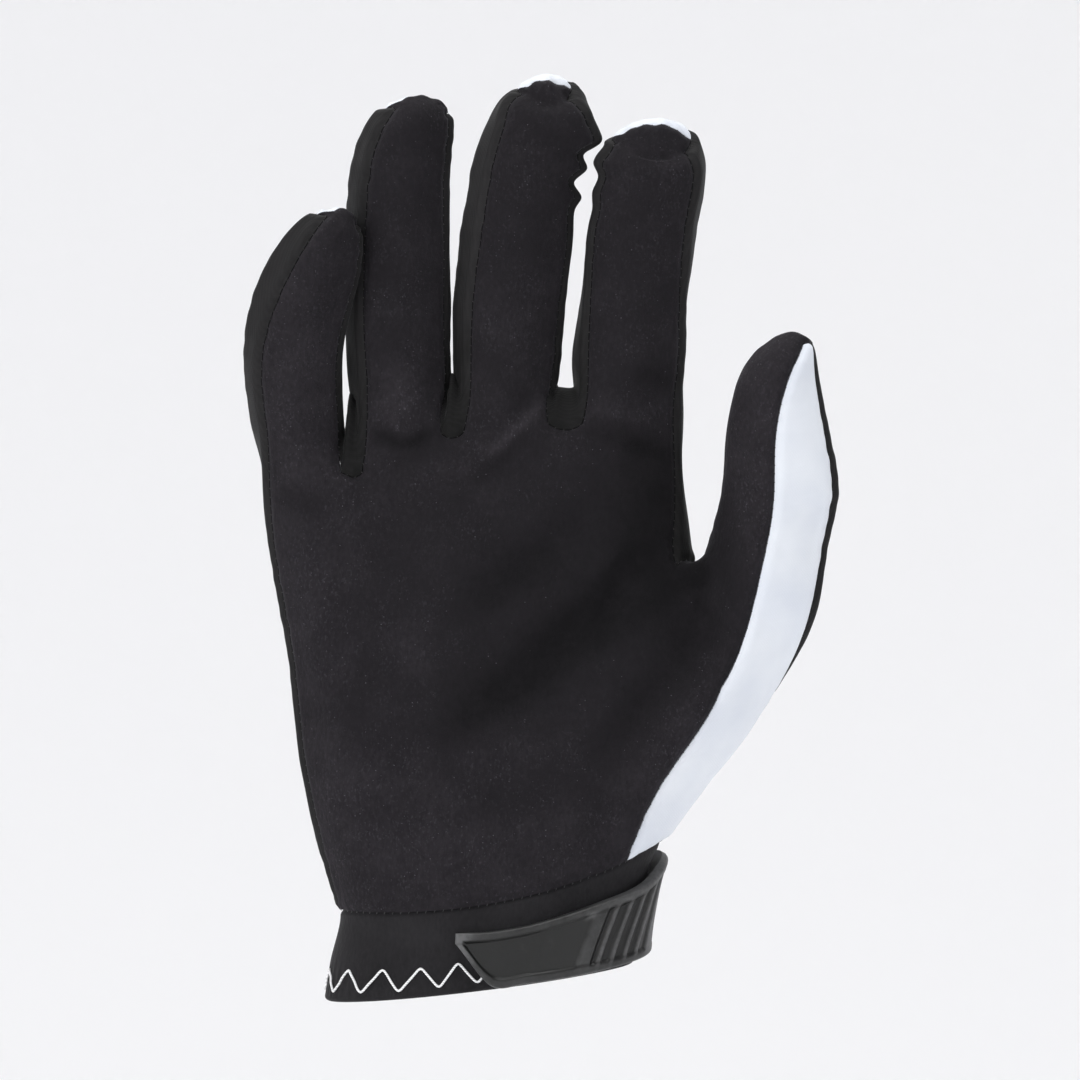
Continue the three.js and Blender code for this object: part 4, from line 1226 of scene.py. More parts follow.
@dataclass
class Skin:
    """The sewn panels: the smooth form with its seams drawn in, its folds and soft creases."""

    form: Form = field(default_factory=Form)
    levels: int = 4
    wall: float = 1.2
    seam_gap: float = 0.24
    seam_depth: float = 0.55
    seam_width: float = 0.95
    ridge: float = 0.16
    ridge_away: float = 2.1
    pucker: float = 0.16
    pucker_pitch: float = 4.6
    pucker_reach: float = 3.2
    soft: float = 0.5
    soft_size: float = 13
    fine: float = 0.12
    fine_size: tuple[float, float, float] = (5, 5, 7)
    # How much painted shade a fold adds, and painted light a ridge
    fold_painted_shade: float = 0.2
    gather: float = 1.7
    gather_reach: float = 10.0
    folds: tuple[Fold, ...] = (
        Fold(30, 118, -11, 86, 5.3, 1.3),
        Fold(46, 106, 0, 65, 5.8, 1.9),
        Fold(55, 88, 24, 52, 5.3, 1.7),
        Fold(38.7, 131, 29, 114, 3.2, 0.6),
        Fold(32, 101, 25.5, 79, 3, 0.7),
        Fold(51.6, 99.6, 50.5, 86, 2.2, 0.9),
        Fold(-27.5, 131, -13, 127.5, 2.4, 0.55),
        Fold(-24, 122, -8, 129, 3, 0.5),
        Fold(10, 141, 5, 133, 2.4, 0.6),
        Fold(-47, 62, -20, 74, 5, 0.45),
        Fold(30, 48, -8, 40, 6, 0.6),
    )
    # Painted light and shade on the suede: a dark hollow by the thumb and paler places where light falls
    patches: tuple[Patch, ...] = (
        Patch(42, 108, 13, 20, -0.6),
        Patch(26, 88, 18, 16, -0.3),
        Patch(0, 72, 16, 16, -0.15),
        Patch(-10, 30, 45, 26, 0.1),
        Patch(-46, 80, 12, 60, 0.12),
        Patch(63, 130, 14, 40, 0.2),
        Patch(44, 62, 16, 24, 0.12),
        Patch(-21, 141, 5, 7, 0.22),
        Patch(-45, 150, 12, 30, 0.14),
    )
    # Tone-only folds that don't move the cloth: painted shade, and painted light where the depth is
    # below 0
    shades: tuple[Fold, ...] = (
        Fold(40, 110, 22, 80, 4, 1.4),
        Fold(24, 84, 0, 68, 5, 0.9),
        Fold(5, 71, -14, 58, 5.5, 1.5),
        Fold(46, 122, 49, 94, 6, 1.6),
        Fold(16, 104, -2, 88, 4, 0.9),
        Fold(34, 101, 21, 85, 1.6, -2),
        Fold(-24, 86, -14, 72, 7, -0.6),
        Fold(-28, 132, -20, 127.5, 1.5, 2),
        Fold(-21, 127.5, -12.5, 132, 1.5, 2),
        Fold(14.5, 140, -0.5, 125, 1.6, -1.5),
        Fold(10, 131, -4, 119, 1.8, 1.3),
        Fold(21, 132.5, 46, 125, 2.4, 1.2),
        Fold(24, 137, 40, 134, 2.2, -1),
        Fold(34, 146, 46, 143, 3, 1.1),
        Fold(-50, 118, -40, 112, 3, 0.7),
        Fold(-8, 158, 12, 160, 5, -0.5),
        Fold(56, 106, 58, 88, 2.2, 1.0),
    )
    # Painted shade on the knit down between the fingers and by the index, and painted light on two paler
    # strips
    webs: tuple[Patch, ...] = (
        Patch(-33, 124, 7, 18, -0.6),
        Patch(-9.5, 134, 7, 18, -0.6),
        Patch(17.5, 137, 8, 14, -0.6),
        Patch(48, 118, 4, 30, -0.3),
        Patch(-4, 190, 8, 22, 0.3),
        Patch(-58, 130, 10, 30, 0.2),
    )
    ridges: tuple[Fold, ...] = (
        Fold(36, 108, 19, 88, 3.2, -0.55),
        Fold(33.5, 121, 21, 109, 3, -0.45),
        Fold(13, 102, 4, 92, 3.4, -0.35),
        Fold(-29, 141, -19, 127, 3, -0.35),
        Fold(-6, 136, 3, 122, 2.4, -0.35),
        Fold(20, 131, 34, 126, 2.4, -0.3),
        Fold(-13, 62, 12, 52, 5, -0.35),
        Fold(4, 40, 26, 44, 4, -0.3),
        Fold(-40, 44, -22, 52, 5, -0.3),
    )
    creases: tuple[Fold, ...] = (
        Fold(6, 199.5, 22, 200.2, 1.3, 0.5),
        Fold(8, 193.8, 19, 194.4, 1.1, 0.3),
        Fold(-3, 176.5, 15, 178, 1.8, 0.3),
        Fold(31, 195, 44, 196, 1.3, 0.3),
        Fold(32, 157.5, 48, 160, 2, 0.35),
        Fold(-27, 173.5, -12, 175, 1.8, 0.25),
        Fold(-28, 150, -12, 151.5, 2, 0.25),
        Fold(-52, 137, -38, 139, 1.8, 0.25),
        Fold(57, 118, 70, 120, 1.8, 0.3),
    )

    def __post_init__(self) -> None:
        """Fits and smooths the form and draws its seams."""
        self.form.make_cage()
        self.names = sorted(set(self.form.panels))
        numbers = np.array([self.names.index(panel) for panel in self.form.panels])
        mesh = Quads(np.array(self.form.targets), np.array(self.form.quads), numbers)
        mesh = mesh.fitted(self.form.fit_rounds)
        for _ in range(self.levels):
            mesh = mesh.finer()
        mesh.points = mesh.limits()
        self.mesh = mesh
        self.seams = self.find_seams()
        self.shape()

    def find_seams(self) -> list[tuple[str, list[int]]]:
        """The seams as chains of points.

        Returns:
            The two panels' names in one word, and the points in order, for each seam.
        """
        mesh = self.mesh
        low = np.full(len(mesh.edges), len(self.names), int)
        high = np.full(len(mesh.edges), -1, int)
        owner = np.repeat(mesh.panels, 4)
        np.minimum.at(low, mesh.face_edges.ravel(), owner)
        np.maximum.at(high, mesh.face_edges.ravel(), owner)
        seams = []
        for a, b in sorted(set(zip(low[low != high].tolist(), high[low != high].tolist()))):
            chosen = mesh.edges[(low == a) & (high == b)]
            seams += [(f"{self.names[a]}+{self.names[b]}", chain) for chain in chains(chosen)]
        seams += [("wrist", chain) for chain in chains(mesh.rim)]
        return seams

    def shape(self) -> None:
        """Moves the points for the seams, puckers, folds and soft waves."""
        mesh = self.mesh
        normals = mesh.normals()
        places, along = [], []
        for _, chain in self.seams:
            points = mesh.points[chain]
            places.append(points)
            along.append(lengths_along(points))
        spots, lengths = np.concatenate(places), np.concatenate(along)
        tree = KDTree(len(spots))
        for k, spot in enumerate(spots):
            tree.insert(spot, k)
        tree.balance()
        found = [tree.find(point)[1:] for point in mesh.points]
        away = np.array([distance for _, distance in found])
        where = lengths[[k for k, _ in found]]
        out = -self.seam_depth * bell(away / self.seam_width)
        out += self.ridge * bell(away - self.ridge_away)
        # Two waves of unlike pitch, so that no two puckers match
        turns = where / self.pucker_pitch * math.tau
        wave = 0.6 * np.sin(turns + 2 * np.sin(where / 17)) + 0.6 * np.sin(0.57 * turns + 2)
        uneven = 0.5 + 0.5 * np.sin(where / 11 + 1.3)
        gathered = 1 + self.gather * bell(self.from_tip() / self.gather_reach)
        out += self.pucker * gathered * wave * uneven * bell(away / self.pucker_reach)
        facing = np.clip(-normals[:, 1], 0, 1)
        for fold in self.folds + self.ridges + self.creases:
            out -= fold.depth_at(mesh.points) * facing
        soft = [noise.noise(Vector(point) / self.soft_size) for point in mesh.points.tolist()]
        fine = [noise.noise(Vector(point)) for point in (mesh.points / self.fine_size).tolist()]
        calm = smooth_step(0.5, 4, away)
        out += (self.soft * np.array(soft) + self.fine * np.array(fine)) * calm
        mesh.points = mesh.points + normals * out[:, None]
        self.normals = mesh.normals()

    def from_tip(self) -> Array:
        """Each point's distance from the nearest fingertip."""
        tips = []
        left = self.form.knuckle_left
        for finger in FINGERS:
            middle = left + finger.width * (0.5 + finger.tip_side)
            top = self.form.height(finger.base) + finger.length
            tips.append((middle, -finger.tip_bow * finger.length, top))
            left += finger.width + finger.gap
        offs = self.mesh.points[:, None] - np.array(tips)[None]
        return np.linalg.norm(offs, axis=2).min(axis=1)

    def lie(self, points: Array, knit: bool) -> Array:
        """The painted light and shade at each point, from 0 to 1: painted shade in the hand's hollow,
        in the folds and, for the knit, down between the fingers, and painted light on ridges and
        patches."""
        pale = np.full(len(points), 0.5)
        for patch in self.webs if knit else self.patches:
            pale += patch.amount_at(points)
        # Folds add painted shade; ridges and shades whose depth is below 0 add painted light
        for fold in self.folds + self.ridges + self.shades:
            pale -= self.fold_painted_shade * fold.depth_at(points)
        return np.clip(pale, 0, 1)

    def panel(self, node_name: str, name: str, material: Material) -> Object:
        """Builds one panel with its wall, held back a little from its seams.

        Args:
            node_name: The panel's name in the form.
            name: The piece's name.
            material: Its finish.

        Returns:
            The panel's object.
        """
        mesh, number = self.mesh, self.names.index(node_name)
        own = mesh.faces[mesh.panels == number]
        halves = np.stack([own, np.roll(own, -1, axis=1)], 2).reshape(-1, 2)
        count = len(mesh.points)
        keys = halves[:, 0] * count + halves[:, 1]
        border = halves[~np.isin(halves[:, 1] * count + halves[:, 0], keys)]
        points = mesh.points.copy()
        along = unit(points[border[:, 1]] - points[border[:, 0]])
        inward = np.zeros_like(points)
        for end in (0, 1):
            across = unit(np.cross(self.normals[border[:, end]], along))
            np.add.at(inward, border[:, end], across)
        points += unit(inward) * (self.seam_gap / 2) * (np.linalg.norm(inward, axis=1) > 0)[:, None]
        walls = points - self.normals * self.wall
        coarse = own.reshape(-1, 4, 4)[:, :, 0]
        middle = own.reshape(-1, 4, 4)[:, :, 1]
        after = np.roll(coarse, -1, axis=1)
        edge_keys = set((border[:, 0] * count + border[:, 1]).tolist())
        outer_ids, inner_ids = np.unique(own), np.unique(coarse)
        outer, inner = np.full(count, -1), np.full(count, -1)
        outer[outer_ids] = np.arange(len(outer_ids))
        inner[inner_ids] = len(outer_ids) + np.arange(len(inner_ids))
        faces = outer[own].tolist() + inner[coarse[:, ::-1]].tolist()
        for a, m, b in zip(coarse.ravel().tolist(), middle.ravel().tolist(), after.ravel().tolist()):
            if a * count + m in edge_keys:
                round_edge = (outer[a], inner[a], inner[b], outer[b])
                faces += [[p, q, outer[m]] for p, q in zip(round_edge, round_edge[1:])]
        joined = np.concatenate([points[outer_ids], walls[inner_ids]])
        made = mesh_object(name, joined, faces, material)
        # Keeps the panel's painted light and shade for its finish
        set_tone(made, self.lie(joined, not node_name.startswith("palm")))
        return made

    def seam_path(self, chain: list[int], lift: float) -> tuple[Array, Array]:
        """A seam's points lifted off its groove, and the directions outwards there."""
        normals = self.normals[chain]
        return self.mesh.points[chain] + normals * lift, normals


def chains(edges: Array) -> list[list[int]]:
    """Edges joined end to end.

    Args:
        edges: Pairs of point numbers.

    Returns:
        Each chain's points in order, with a ring's first point again at its end.
    """
    around: dict[int, list[int]] = {}
    for a, b in edges.tolist():
        around.setdefault(a, []).append(b)
        around.setdefault(b, []).append(a)
    left = {frozenset(edge) for edge in edges.tolist()}
    found = []
    for start in sorted(around, key=lambda point: (len(around[point]) == 2, point)):
        for first in around[start]:
            if frozenset((start, first)) not in left:
                continue
            chain = [start, first]
            left.discard(frozenset(chain))
            while len(around[chain[-1]]) == 2:
                options = [p for p in around[chain[-1]] if frozenset((chain[-1], p)) in left]
                if not options:
                    break
                left.discard(frozenset((chain[-1], options[0])))
                chain.append(options[0])
            found.append(chain)
    return found


# What is sewn and moulded on


class ThreadTree:
    """A Geometry Nodes tree under construction, with named inputs."""

    def __init__(self, name: str) -> None:
        """Starts a tree with its geometry sockets.

        Args:
            name: The tree's name.
        """
        self.tree = bpy.data.node_groups.new(name, "GeometryNodeTree")
        self.tree.interface.new_socket("Geometry", in_out="INPUT", socket_type="NodeSocketGeometry")
        self.tree.interface.new_socket("Geometry", in_out="OUTPUT", socket_type="NodeSocketGeometry")
        self.source = self.add("NodeGroupInput")
        self.ids: dict[str, str] = {}

    def add(self, kind: str, settings: dict | None = None, inputs: dict | None = None) -> Any:
        """Adds a node to this tree."""
        return node(self.tree, kind, settings, inputs)

    def size(self, name: str, kind: str = "NodeSocketFloat") -> Any:
        """Adds a named input and returns its socket."""
        made = self.tree.interface.new_socket(name, in_out="INPUT", socket_type=kind)
        self.ids[name] = made.identifier
        return self.source.outputs[name]

    def end(self, geometry: Any) -> None:
        """Ends the tree in Realize Instances and Set Material."""
        finish = self.size("Material", "NodeSocketMaterial")
        whole = self.add("GeometryNodeRealizeInstances", None, {"Geometry": geometry}).outputs[0]
        dressed = self.add("GeometryNodeSetMaterial", None, {"Geometry": whole, "Material": finish})
        self.add("NodeGroupOutput", None, {"Geometry": dressed.outputs[0]})

    def apply(self, name: str, guide: Object, values: dict[str, Any]) -> Object:
        """Runs the tree on a guide and keeps the result as a plain mesh.

        Args:
            name: The piece's name.
            guide: The object that carries the guide lines. It is removed.
            values: The inputs by name.

        Returns:
            The piece.
        """
        modifier = guide.modifiers.new(name, "NODES")
        modifier.node_group = self.tree
        for key, value in values.items():
            modifier[self.ids[key]] = value
        graph = bpy.context.evaluated_depsgraph_get()
        mesh = bpy.data.meshes.new_from_object(guide.evaluated_get(graph))
        guide.modifiers.remove(modifier)
        mesh.name = name
        mesh.shade_smooth()
        bpy.data.objects.remove(guide)
        return placed(name, mesh)


def guide_lines(lines: Sequence[tuple[Array, Array]]) -> Object:
    """Guide lines as loose edges, with the direction outwards kept in an attribute.

    Args:
        lines: Points in millimetres and their directions outwards, for each line.

    Returns:
        The object.
    """
    points, outward, edges = [], [], []
    for places, normals in lines:
        start = len(points)
        points += (places * MM).tolist()
        outward += normals.tolist()
        edges += [(start + k, start + k + 1) for k in range(len(places) - 1)]
    mesh = bpy.data.meshes.new("guide")
    mesh.from_pydata(points, edges, [])
    attribute = mesh.attributes.new("outward", "FLOAT_VECTOR", "POINT")
    attribute.data.foreach_set("vector", np.array(outward, np.float32).ravel())
    return placed("guide", mesh)


def evenly(points: Array, normals: Array, pitch: float) -> tuple[Array, Array]:
    """A line with points about a pitch apart."""
    at = lengths_along(points)
    places = np.linspace(0, at[-1], max(2, round(at[-1] / pitch) + 1))
    line = np.stack([np.interp(places, at, points[:, k]) for k in range(3)], 1)
    out = np.stack([np.interp(places, at, normals[:, k]) for k in range(3)], 1)
    return line, unit(out)


@dataclass
class Stitching:
    """The stitches that show in the seams, and the white zigzag thread along the hem."""

    skin: Skin
    pitch: float = 2.1
    length: float = 0.9
    radius: float = 0.11
    lean: float = 62.0
    sunk: float = 0.06
    zigzag_pitch: float = 9.75
    zigzag_low: float = 1.9
    zigzag_high: float = 7.6
    zigzag_start: float = 0.175
    zigzag_radius: float = 0.29
    zigzag_rise: float = 0.2
    zigzag_steps: int = 12
    zigzag_sway: float = 0.9
    zigzag_lift: float = 0.28

    def seam_stitches(self, material: Material) -> Object:
        """Short stitches that cross each seam at a lean."""
        lines = []
        for _, chain in self.skin.seams:
            points, normals = self.skin.seam_path(chain, -self.sunk)
            lines.append(evenly(points, normals, self.pitch))
        tree = ThreadTree("seam stitches")
        length, radius, lean = (tree.size(name) for name in ("Length", "Radius", "Lean"))
        curve = tree.add("GeometryNodeMeshToCurve", None, {"Mesh": tree.source.outputs[0]}).outputs[0]
        tangent = tree.add("GeometryNodeInputTangent").outputs[0]
        settings = {"data_type": "FLOAT_VECTOR"}
        outward = tree.add("GeometryNodeInputNamedAttribute", settings, {"Name": "outward"}).outputs[0]
        up = tree.add("FunctionNodeAlignRotationToVector", {"axis": "Z"}, {"Vector": outward}).outputs[0]
        along = tree.add(
            "FunctionNodeAlignRotationToVector",
            {"axis": "X", "pivot_axis": "Z"},
            {"Rotation": up, "Vector": tangent},
        ).outputs[0]
        turned = tree.add("FunctionNodeAxisAngleToRotation", None, {"Axis": (0, 0, 1), "Angle": lean})
        both = tree.add(
            "FunctionNodeRotateRotation",
            {"rotation_space": "LOCAL"},
            {"Rotation": along, "Rotate By": turned.outputs[0]},
        ).outputs[0]
        ball = tree.add("GeometryNodeMeshUVSphere", None, {"Segments": 6, "Rings": 5, "Radius": 1.0})
        half = tree.add("ShaderNodeMath", {"operation": "MULTIPLY"}, {0: length, 1: 0.5}).outputs[0]
        scale = tree.add("ShaderNodeCombineXYZ", None, {0: half, 1: radius, 2: radius}).outputs[0]
        inputs = {"Points": curve, "Instance": ball.outputs[0], "Rotation": both, "Scale": scale}
        placed = tree.add("GeometryNodeInstanceOnPoints", None, inputs)
        tree.end(placed.outputs[0])
        values = {
            "Length": self.length * MM,
            "Radius": self.radius * MM,
            "Lean": math.radians(self.lean),
            "Material": material,
        }
        return tree.apply("seam_stitches", guide_lines(lines), values)

    def zigzag(self, material: Material) -> Object:
        """The zigzag thread, from guide points that the tree joins into a round thread."""
        cuff = self.skin.form.cuff
        angle = np.linspace(math.pi * 2.5, math.pi * 0.5, 4001) - self.zigzag_start
        at = lengths_along(cuff.surface(angle, self.zigzag_rise))
        count = 2 * round(at[-1] / self.zigzag_pitch)
        corners = np.arange(count + 1)
        places = corners / count * at[-1]
        hand = np.array([noise.noise(Vector((k * 0.73, 0.5, 0))) for k in corners.tolist()])
        hand[[0, -1]] = 0
        hand *= self.zigzag_sway
        turns = np.interp(places + hand, at, angle)
        x = cuff.surface(turns, self.zigzag_rise)[:, 0]
        tall = cuff.seam(x) - cuff.hem(x)
        heights = np.where(corners % 2 == 0, self.zigzag_low, self.zigzag_high)
        rises = (heights + np.roll(hand, 3)) / tall
        rises[-1] = rises[0]
        fine = np.linspace(0, count, self.zigzag_steps * count + 1)
        fine_turns, fine_rises = (np.interp(fine, corners, values) for values in (turns, rises))
        # Rounds the zigzag's corners, as thread does
        kernel = np.array([1, 2, 3, 2, 1]) / 9
        fine_rises[2:-2] = np.convolve(fine_rises, kernel, "valid")
        out = self.zigzag_lift + cuff.relief(fine_turns, fine_rises)
        points = cuff.point(fine_turns, fine_rises, out)
        normals, _ = cuff.axes(fine_turns, fine_rises)
        tree = ThreadTree("zigzag thread")
        radius = tree.size("Radius")
        curve = tree.add("GeometryNodeMeshToCurve", None, {"Mesh": tree.source.outputs[0]}).outputs[0]
        ring = tree.add("GeometryNodeCurvePrimitiveCircle", None, {"Resolution": 8, "Radius": radius})
        tube = tree.add(
            "GeometryNodeCurveToMesh",
            None,
            {"Curve": curve, "Profile Curve": ring.outputs[0], "Fill Caps": True},
        )
        tree.end(tube.outputs[0])
        values = {"Radius": self.zigzag_radius * MM, "Material": material}
        return tree.apply("zigzag_thread", guide_lines([(points, normals)]), values)


@dataclass
class WristTab:
    """The moulded closure tab with its rim, sunk field and slanted grip ribs, and its pad."""

    cuff: Cuff
    length: float = 82
    height: float = 24
    thickness: float = 2.2
    recess: float = 0.8
    rim: float = 1.8
    rounding: float = 0.9
    ribs: int = 4
    ribs_from: float = 0.458
    ribs_to: float = 0.635
    rib_shift: float = 0.43
    rib_flank: tuple[float, float] = (0.42, 0.8)
    facet: float = 0.06
    flank: float = 0.012
    slant: float = 6.5
    tip_x: float = -11
    pad: float = 0.9
    pad_limits: tuple[tuple[float, float], ...] = ((0.14, 0.94), (0.1875, 0.71875))
    hooks: float = 0.06
    clearance: float = 0.45
    columns: int = 330
    rows: int = 72
    shelf: float = 0.35
    # Painted tones of the tab: shade in the rib grooves, and the facet, rib crests, end and rim paler,
    # partly as dust and partly as painted highlight
    field_tone: float = 0.42
    facet_tone: float = 0.14
    groove_shade_tone: float = 0.05
    crest_tone: float = 0.72
    end_tone: float = 0.85
    rim_tone: float = 0.55

    def __post_init__(self) -> None:
        """Sets up the outline, from the tip, and the way round the cuff."""
        along = (0, 0.125, 0.25, 0.42, 0.55, 0.66, 0.8, 1)
        self.top = Column(along, (0.6, 0.58, 0.61, 0.72, 0.82, 1, 1.06, 0.95))
        self.bottom = Column(along, (0.5, 0.05, 0.02, 0.03, 0.06, 0.1, 0.16, 0.2))
        middle = self.height / self.cuff.height / 3
        angles = np.linspace(math.pi * 0.75, -math.pi * 0.75, 4001)
        line = self.cuff.surface(angles, middle)
        start = int(np.argmax(line[:, 0] > self.tip_x))
        at = lengths_along(line)
        self.turns, self.at = angles, at - at[start]

    def place(self, along: Array, across: Array, out: Array) -> Array:
        """Points over the cuff where the tab is.

        Args:
            along: Shares of its length from its tip.
            across: Shares of its height from its lower edge.
            out: Distances off the cuff, in millimetres.

        Returns:
            The points, in millimetres.
        """
        top, bottom = self.top(along) * self.height, self.bottom(along) * self.height
        up = bottom + across * (top - bottom)
        slant = self.slant * (up / self.height - 0.5) * np.minimum(1, along * 3)
        distance = along * (self.length - self.slant) + slant + self.slant / 2
        angle = np.interp(distance, self.at, self.turns)
        x = self.cuff.surface(angle, 0.5)[..., 0]
        rise = up / (self.cuff.seam(x) - self.cuff.hem(x))
        return self.cuff.point(angle, rise, out)

    def from_edge(self, along: Array, across: Array) -> Array:
        """How far in from the tab's edge a place is, in millimetres."""
        tall = np.maximum((self.top(along) - self.bottom(along)) * self.height, 1)
        side = np.minimum(across, 1 - across) * tall
        return np.minimum(side, np.minimum(along, 1 - along) * self.length * 0.9)

    def raised(self, along: Array) -> tuple[Array, Array, Array]:
        """How far the grip ribs, the facet before them and the end stand up, from 0 to 1."""
        share = (along - self.ribs_from) / (self.ribs_to - self.ribs_from)
        from_groove = np.abs((share * self.ribs - self.rib_shift) % 1 - 0.5) * 2
        crest = smooth_step(*self.rib_flank, from_groove) * (share > 0) * (share < 1)
        start, flank = self.ribs_from - self.facet, self.flank
        facet = smooth_step(start, start + 0.02, along)
        facet = facet * (1 - smooth_step(self.ribs_from - flank, self.ribs_from, along))
        return crest, facet, smooth_step(self.ribs_to + flank, self.ribs_to + 0.03, along)

    def rubbed_and_painted_light(self, along: Array, across: Array) -> Array:
        """The tab's painted light and shade and its dust, from 0 in its grooves to 1."""
        crest, facet, end = self.raised(along)
        ribs = smooth_step(self.ribs_from - 0.01, self.ribs_from, along) * (1 - end)
        plain = self.field_tone + self.facet_tone * facet
        tone = plain * (1 - ribs) + (self.groove_shade_tone + self.crest_tone * crest) * ribs
        tone = tone * (1 - end) + self.end_tone * end
        edge = self.from_edge(along, across)
        rim = 1 - smooth_step(self.rim * 0.8, self.rim * 1.2, edge)
        # Painted highlight on the rim at the tip and along the upper edge
        tip = bell(along / 0.05) * 0.5
        over = smooth_step(0.3, 0.7, along) * smooth_step(0.5, 1, across) * 0.3
        tone = tone * (1 - rim) + np.maximum(self.rim_tone + tip + over, tone * 0.8) * rim
        # Painted shade in the groove inside the rim
        painted_groove_shade = bell((edge - self.rim * 1.25) / 0.35) * 0.25 * (1 - end)
        # A painted glint at the sunk field's upper corner
        painted_glint = bell((along - 0.4) / 0.016) * bell((across - 0.86) / 0.05) * 0.6
        return np.clip(tone - painted_groove_shade + painted_glint, 0, 1.2)

    def relief(self, along: Array, across: Array) -> Array:
        """The tab's thickness: its rounded rim, sunk field, dividing step and grip ribs."""
        edge = self.from_edge(along, across)
        lip = np.sqrt(np.clip(1 - (1 - np.clip(edge / self.rounding, 0, 1)) ** 2, 0, 1))
        inside = smooth_step(self.rim, self.rim + self.rounding, edge)
        crest, facet, end = self.raised(along)
        shelf = self.shelf * smooth_step(0.62, 0.7, along / (self.ribs_from - self.facet)) * (1 - facet)
        shelf *= along < self.ribs_from - self.facet / 2
        raised = np.clip(crest + facet + 0.8 * end + shelf, 0, 1)
        field_height = self.thickness - self.recess * (1 - raised)
        full = self.thickness * (1 - inside) + field_height * inside
        return full * (0.55 + 0.45 * lip)

    def build(self, material: Material) -> Object:
        """Builds the tab as one closed slab.

        Args:
            material: Its finish.

        Returns:
            The tab's object.
        """
        ease = np.linspace(0, 1, self.columns)
        along = ease - 0.018 * np.sin(ease * math.tau)
        share = np.linspace(0, 1, self.rows)
        across = share - 0.055 * np.sin(share * math.tau)
        grid_along, grid_across = np.meshgrid(along, across, indexing="ij")
        seat = self.clearance * 2 + self.pad
        upper = self.place(grid_along, grid_across, seat + self.relief(grid_along, grid_across))
        lower = self.place(grid_along, grid_across, np.full(grid_along.shape, seat))
        made = slab_object("wrist_tab_rubber", upper, lower, material)
        # Keeps the tab's painted light and shade, with its dust, for its finish
        set_tone(made, np.tile(self.rubbed_and_painted_light(grid_along, grid_across).ravel(), 2))
        return made

    def build_pad(self, material: Material) -> Object:
        """Builds the fastening pad under the tab."""
        ways = (np.linspace(*limits, steps) for limits, steps in zip(self.pad_limits, (90, 24)))
        along, across = np.meshgrid(*ways, indexing="ij")
        hooks = self.hooks * (np.sin(along * 900) * np.sin(across * 80) - 1)
        upper = self.place(along, across, self.clearance + self.pad + hooks)
        lower = self.place(along, across, np.full(along.shape, self.clearance))
        return slab_object("hook_pad_tape", upper, lower, material)


def slab_object(name: str, upper: Array, lower: Array, material: Material) -> Object:
    """Makes a closed slab between two grids.

    Args:
        name: The piece's name.
        upper: Its outer face, columns by rows by three.
        lower: Its inner face, the same.
        material: Its finish.

    Returns:
        The object.
    """
    columns, rows = upper.shape[:2]
    ids = np.arange(columns * rows).reshape(columns, rows)
    a, b, c, d = ids[:-1, :-1], ids[1:, :-1], ids[1:, 1:], ids[:-1, 1:]
    top = np.stack([a, b, c, d], -1).reshape(-1, 4)
    faces = top.tolist() + (top[:, ::-1] + columns * rows).tolist()
    loop = np.concatenate([ids[:, 0], ids[-1, 1:], ids[-2::-1, -1], ids[0, -2:0:-1]])
    after = np.roll(loop, -1)
    shift = columns * rows
    faces += np.stack([loop, loop + shift, after + shift, after], 1).tolist()
    points = np.concatenate([upper.reshape(-1, 3), lower.reshape(-1, 3)])
    return mesh_object(name, points, faces, material)


# The studio


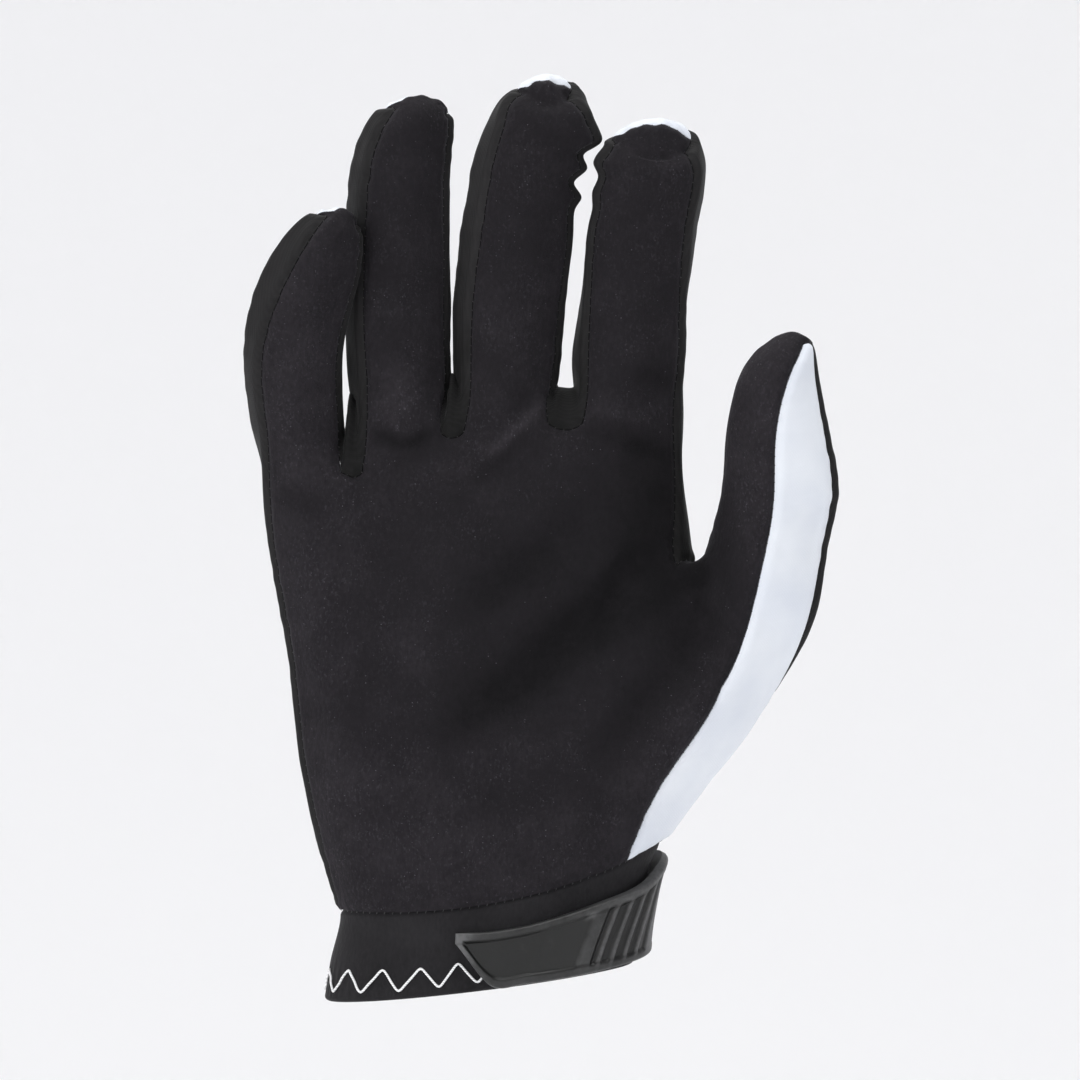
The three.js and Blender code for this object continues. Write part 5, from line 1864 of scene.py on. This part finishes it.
@dataclass
class Studio:
    """A pale paper bowl all round, soft lights and a camera square to the palm."""

    view_width: float = 259.2
    middle_x: float = 12.24
    middle_z: float = 105.6
    lens: float = 200.0
    sensor: float = 36.0
    floor: float = -190.0
    bowl: float = 2800.0
    key: float = 16.0
    fill: float = 3.5
    top: float = 5.0
    wash: float = 9.5
    world: float = 0.5

    def camera(self) -> None:
        """Sets the camera up in front of the palm, level with the glove's middle."""
        data = bpy.data.cameras.new("camera")
        data.lens = self.lens
        data.sensor_width = self.sensor
        data.clip_end = 50
        made = placed("camera", data)
        distance = self.lens * self.view_width / self.sensor
        made.location = (self.middle_x * MM, -distance * MM, self.middle_z * MM)
        made.rotation_euler = (math.radians(90), 0, 0)
        bpy.context.scene.camera = made

    def lamp(
        self,
        name: str,
        place: tuple[float, float, float],
        size: float,
        power: float,
        target: tuple[float, float, float] = (0.01, 0.0, 0.1),
    ) -> None:
        """Hangs a square soft light.

        Args:
            name: Its name.
            place: Where it hangs, in metres.
            size: Its side, in metres.
            power: Its power, in watts.
            target: What it faces: the glove, unless another place is given.
        """
        data = bpy.data.lights.new(name, "AREA")
        data.size = size
        data.energy = power
        made = placed(name, data)
        made.location = place
        made.visible_camera = False
        aim = Vector(target) - Vector(place)
        made.rotation_euler = aim.to_track_quat("-Z", "Y").to_euler()

    def build(self, paper: Material) -> Object:
        """Builds the bowl, the lights and the world.

        Args:
            paper: The bowl's finish.

        Returns:
            The bowl.
        """
        turn = np.linspace(0, math.tau, 97)[:-1, None]
        bend = np.linspace(0, math.pi / 2, 25)[1:]
        curve = 0.55 * self.bowl
        flat = self.bowl - curve
        reach = np.concatenate([[0.01], np.linspace(200, flat, 6), flat + curve * np.sin(bend)])
        rise = np.concatenate([np.zeros(7), curve * (1 - np.cos(bend))]) + self.floor
        points = np.stack([np.cos(turn) * reach, np.sin(turn) * reach, 0 * turn + rise], -1)
        bowl = grid_object("paper_bowl", points, paper, closed=(True, False))
        self.lamp("key_light", (-1.3, -1.3, 0.7), 1.2, self.key)
        self.lamp("fill_light", (1.3, -1.4, 0.5), 1.2, self.fill)
        self.lamp("top_light", (0.1, 0.5, 1.7), 1.4, self.top)
        for k in range(4):
            x, y = math.cos((k + 0.5) * math.pi / 2), math.sin((k + 0.5) * math.pi / 2)
            wall = (x * self.bowl * MM, y * self.bowl * MM, 0.0)
            self.lamp(f"wall_light_{k}", (0.3 * x, 0.3 * y, 1.5), 0.6, self.wash, wall)
        world = bpy.data.worlds.new("studio_air")
        world.use_nodes = True
        background = world.node_tree.nodes["Background"]
        background.inputs["Color"].default_value = linear("#f8f8f9")
        background.inputs["Strength"].default_value = self.world
        bpy.context.scene.world = world
        bpy.context.scene.view_settings.view_transform = "Standard"
        return bowl


PANELS: dict[str, tuple[str, str, str]] = {
    "palm_panel": ("palm_suede", "suede", "suede"),
    "back_panel": ("back_woven", "white", "white_stretch"),
    "thumb_side_panel": ("thumb_side_woven", "white", "white_stretch"),
    "thumb_back_panel": ("thumb_back_knit", "knit", "black_stretch"),
    "fourchette_pinky_ring": ("fourchette_knit_pinky_ring", "knit", "black_stretch"),
    "fourchette_ring_middle": ("fourchette_knit_ring_middle", "knit", "black_stretch"),
    "fourchette_middle_index": ("fourchette_knit_middle_index", "knit", "black_stretch"),
    "pinky_side_strip": ("side_strip_knit_pinky", "knit", "black_stretch"),
    "index_side_strip": ("side_strip_knit_index", "knit", "black_stretch"),
}


def keep(piece: Object, slot: str, *nodes: str) -> None:
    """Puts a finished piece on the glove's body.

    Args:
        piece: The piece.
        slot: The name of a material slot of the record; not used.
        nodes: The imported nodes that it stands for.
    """
    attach(piece, BODY)
    if nodes:
        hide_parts(*nodes)
    LOG.info("%s: %d faces", piece.name, len(piece.data.polygons))


def main() -> None:
    """Builds the studio and the glove, piece by piece."""
    logging.basicConfig(level=logging.INFO, format="%(name)s: %(message)s")
    finishes = {
        "suede": Microsuede().make(),
        "white": WovenStretch().make(),
        "knit": StretchKnit().make(),
        "cuff": NeopreneJersey().make(),
        "rubber": MouldedRubber().make(),
        "hooks": NeopreneJersey("hook_tape_black", "#141414", "#242424", 1.1).make(),
        "black thread": SewingThread("polyester_thread_black", "#0c0b0d", "#1b1a1d").make(),
        "white thread": SewingThread("polyester_thread_white", "#c9cacc", "#f4f4f4").make(),
    }
    studio = Studio()
    studio.camera()
    studio.build(StudioPaper().make())
    skin = Skin()
    for node_name, (name, finish, slot) in PANELS.items():
        keep(skin.panel(node_name, name, finishes[finish]), slot, node_name)
    cuff = skin.form.cuff
    keep(cuff.build(finishes["cuff"]), "cuff_neoprene", "cuff")
    tab = WristTab(cuff)
    keep(tab.build(finishes["rubber"]), "tab_rubber", "wrist_tab")
    keep(tab.build_pad(finishes["hooks"]), "hook_tape", "hook_pad")
    stitching = Stitching(skin)
    keep(stitching.seam_stitches(finishes["black thread"]), "black_stretch")
    keep(stitching.zigzag(finishes["white thread"]), "white_stretch")


if __name__ == "__main__":
    main()
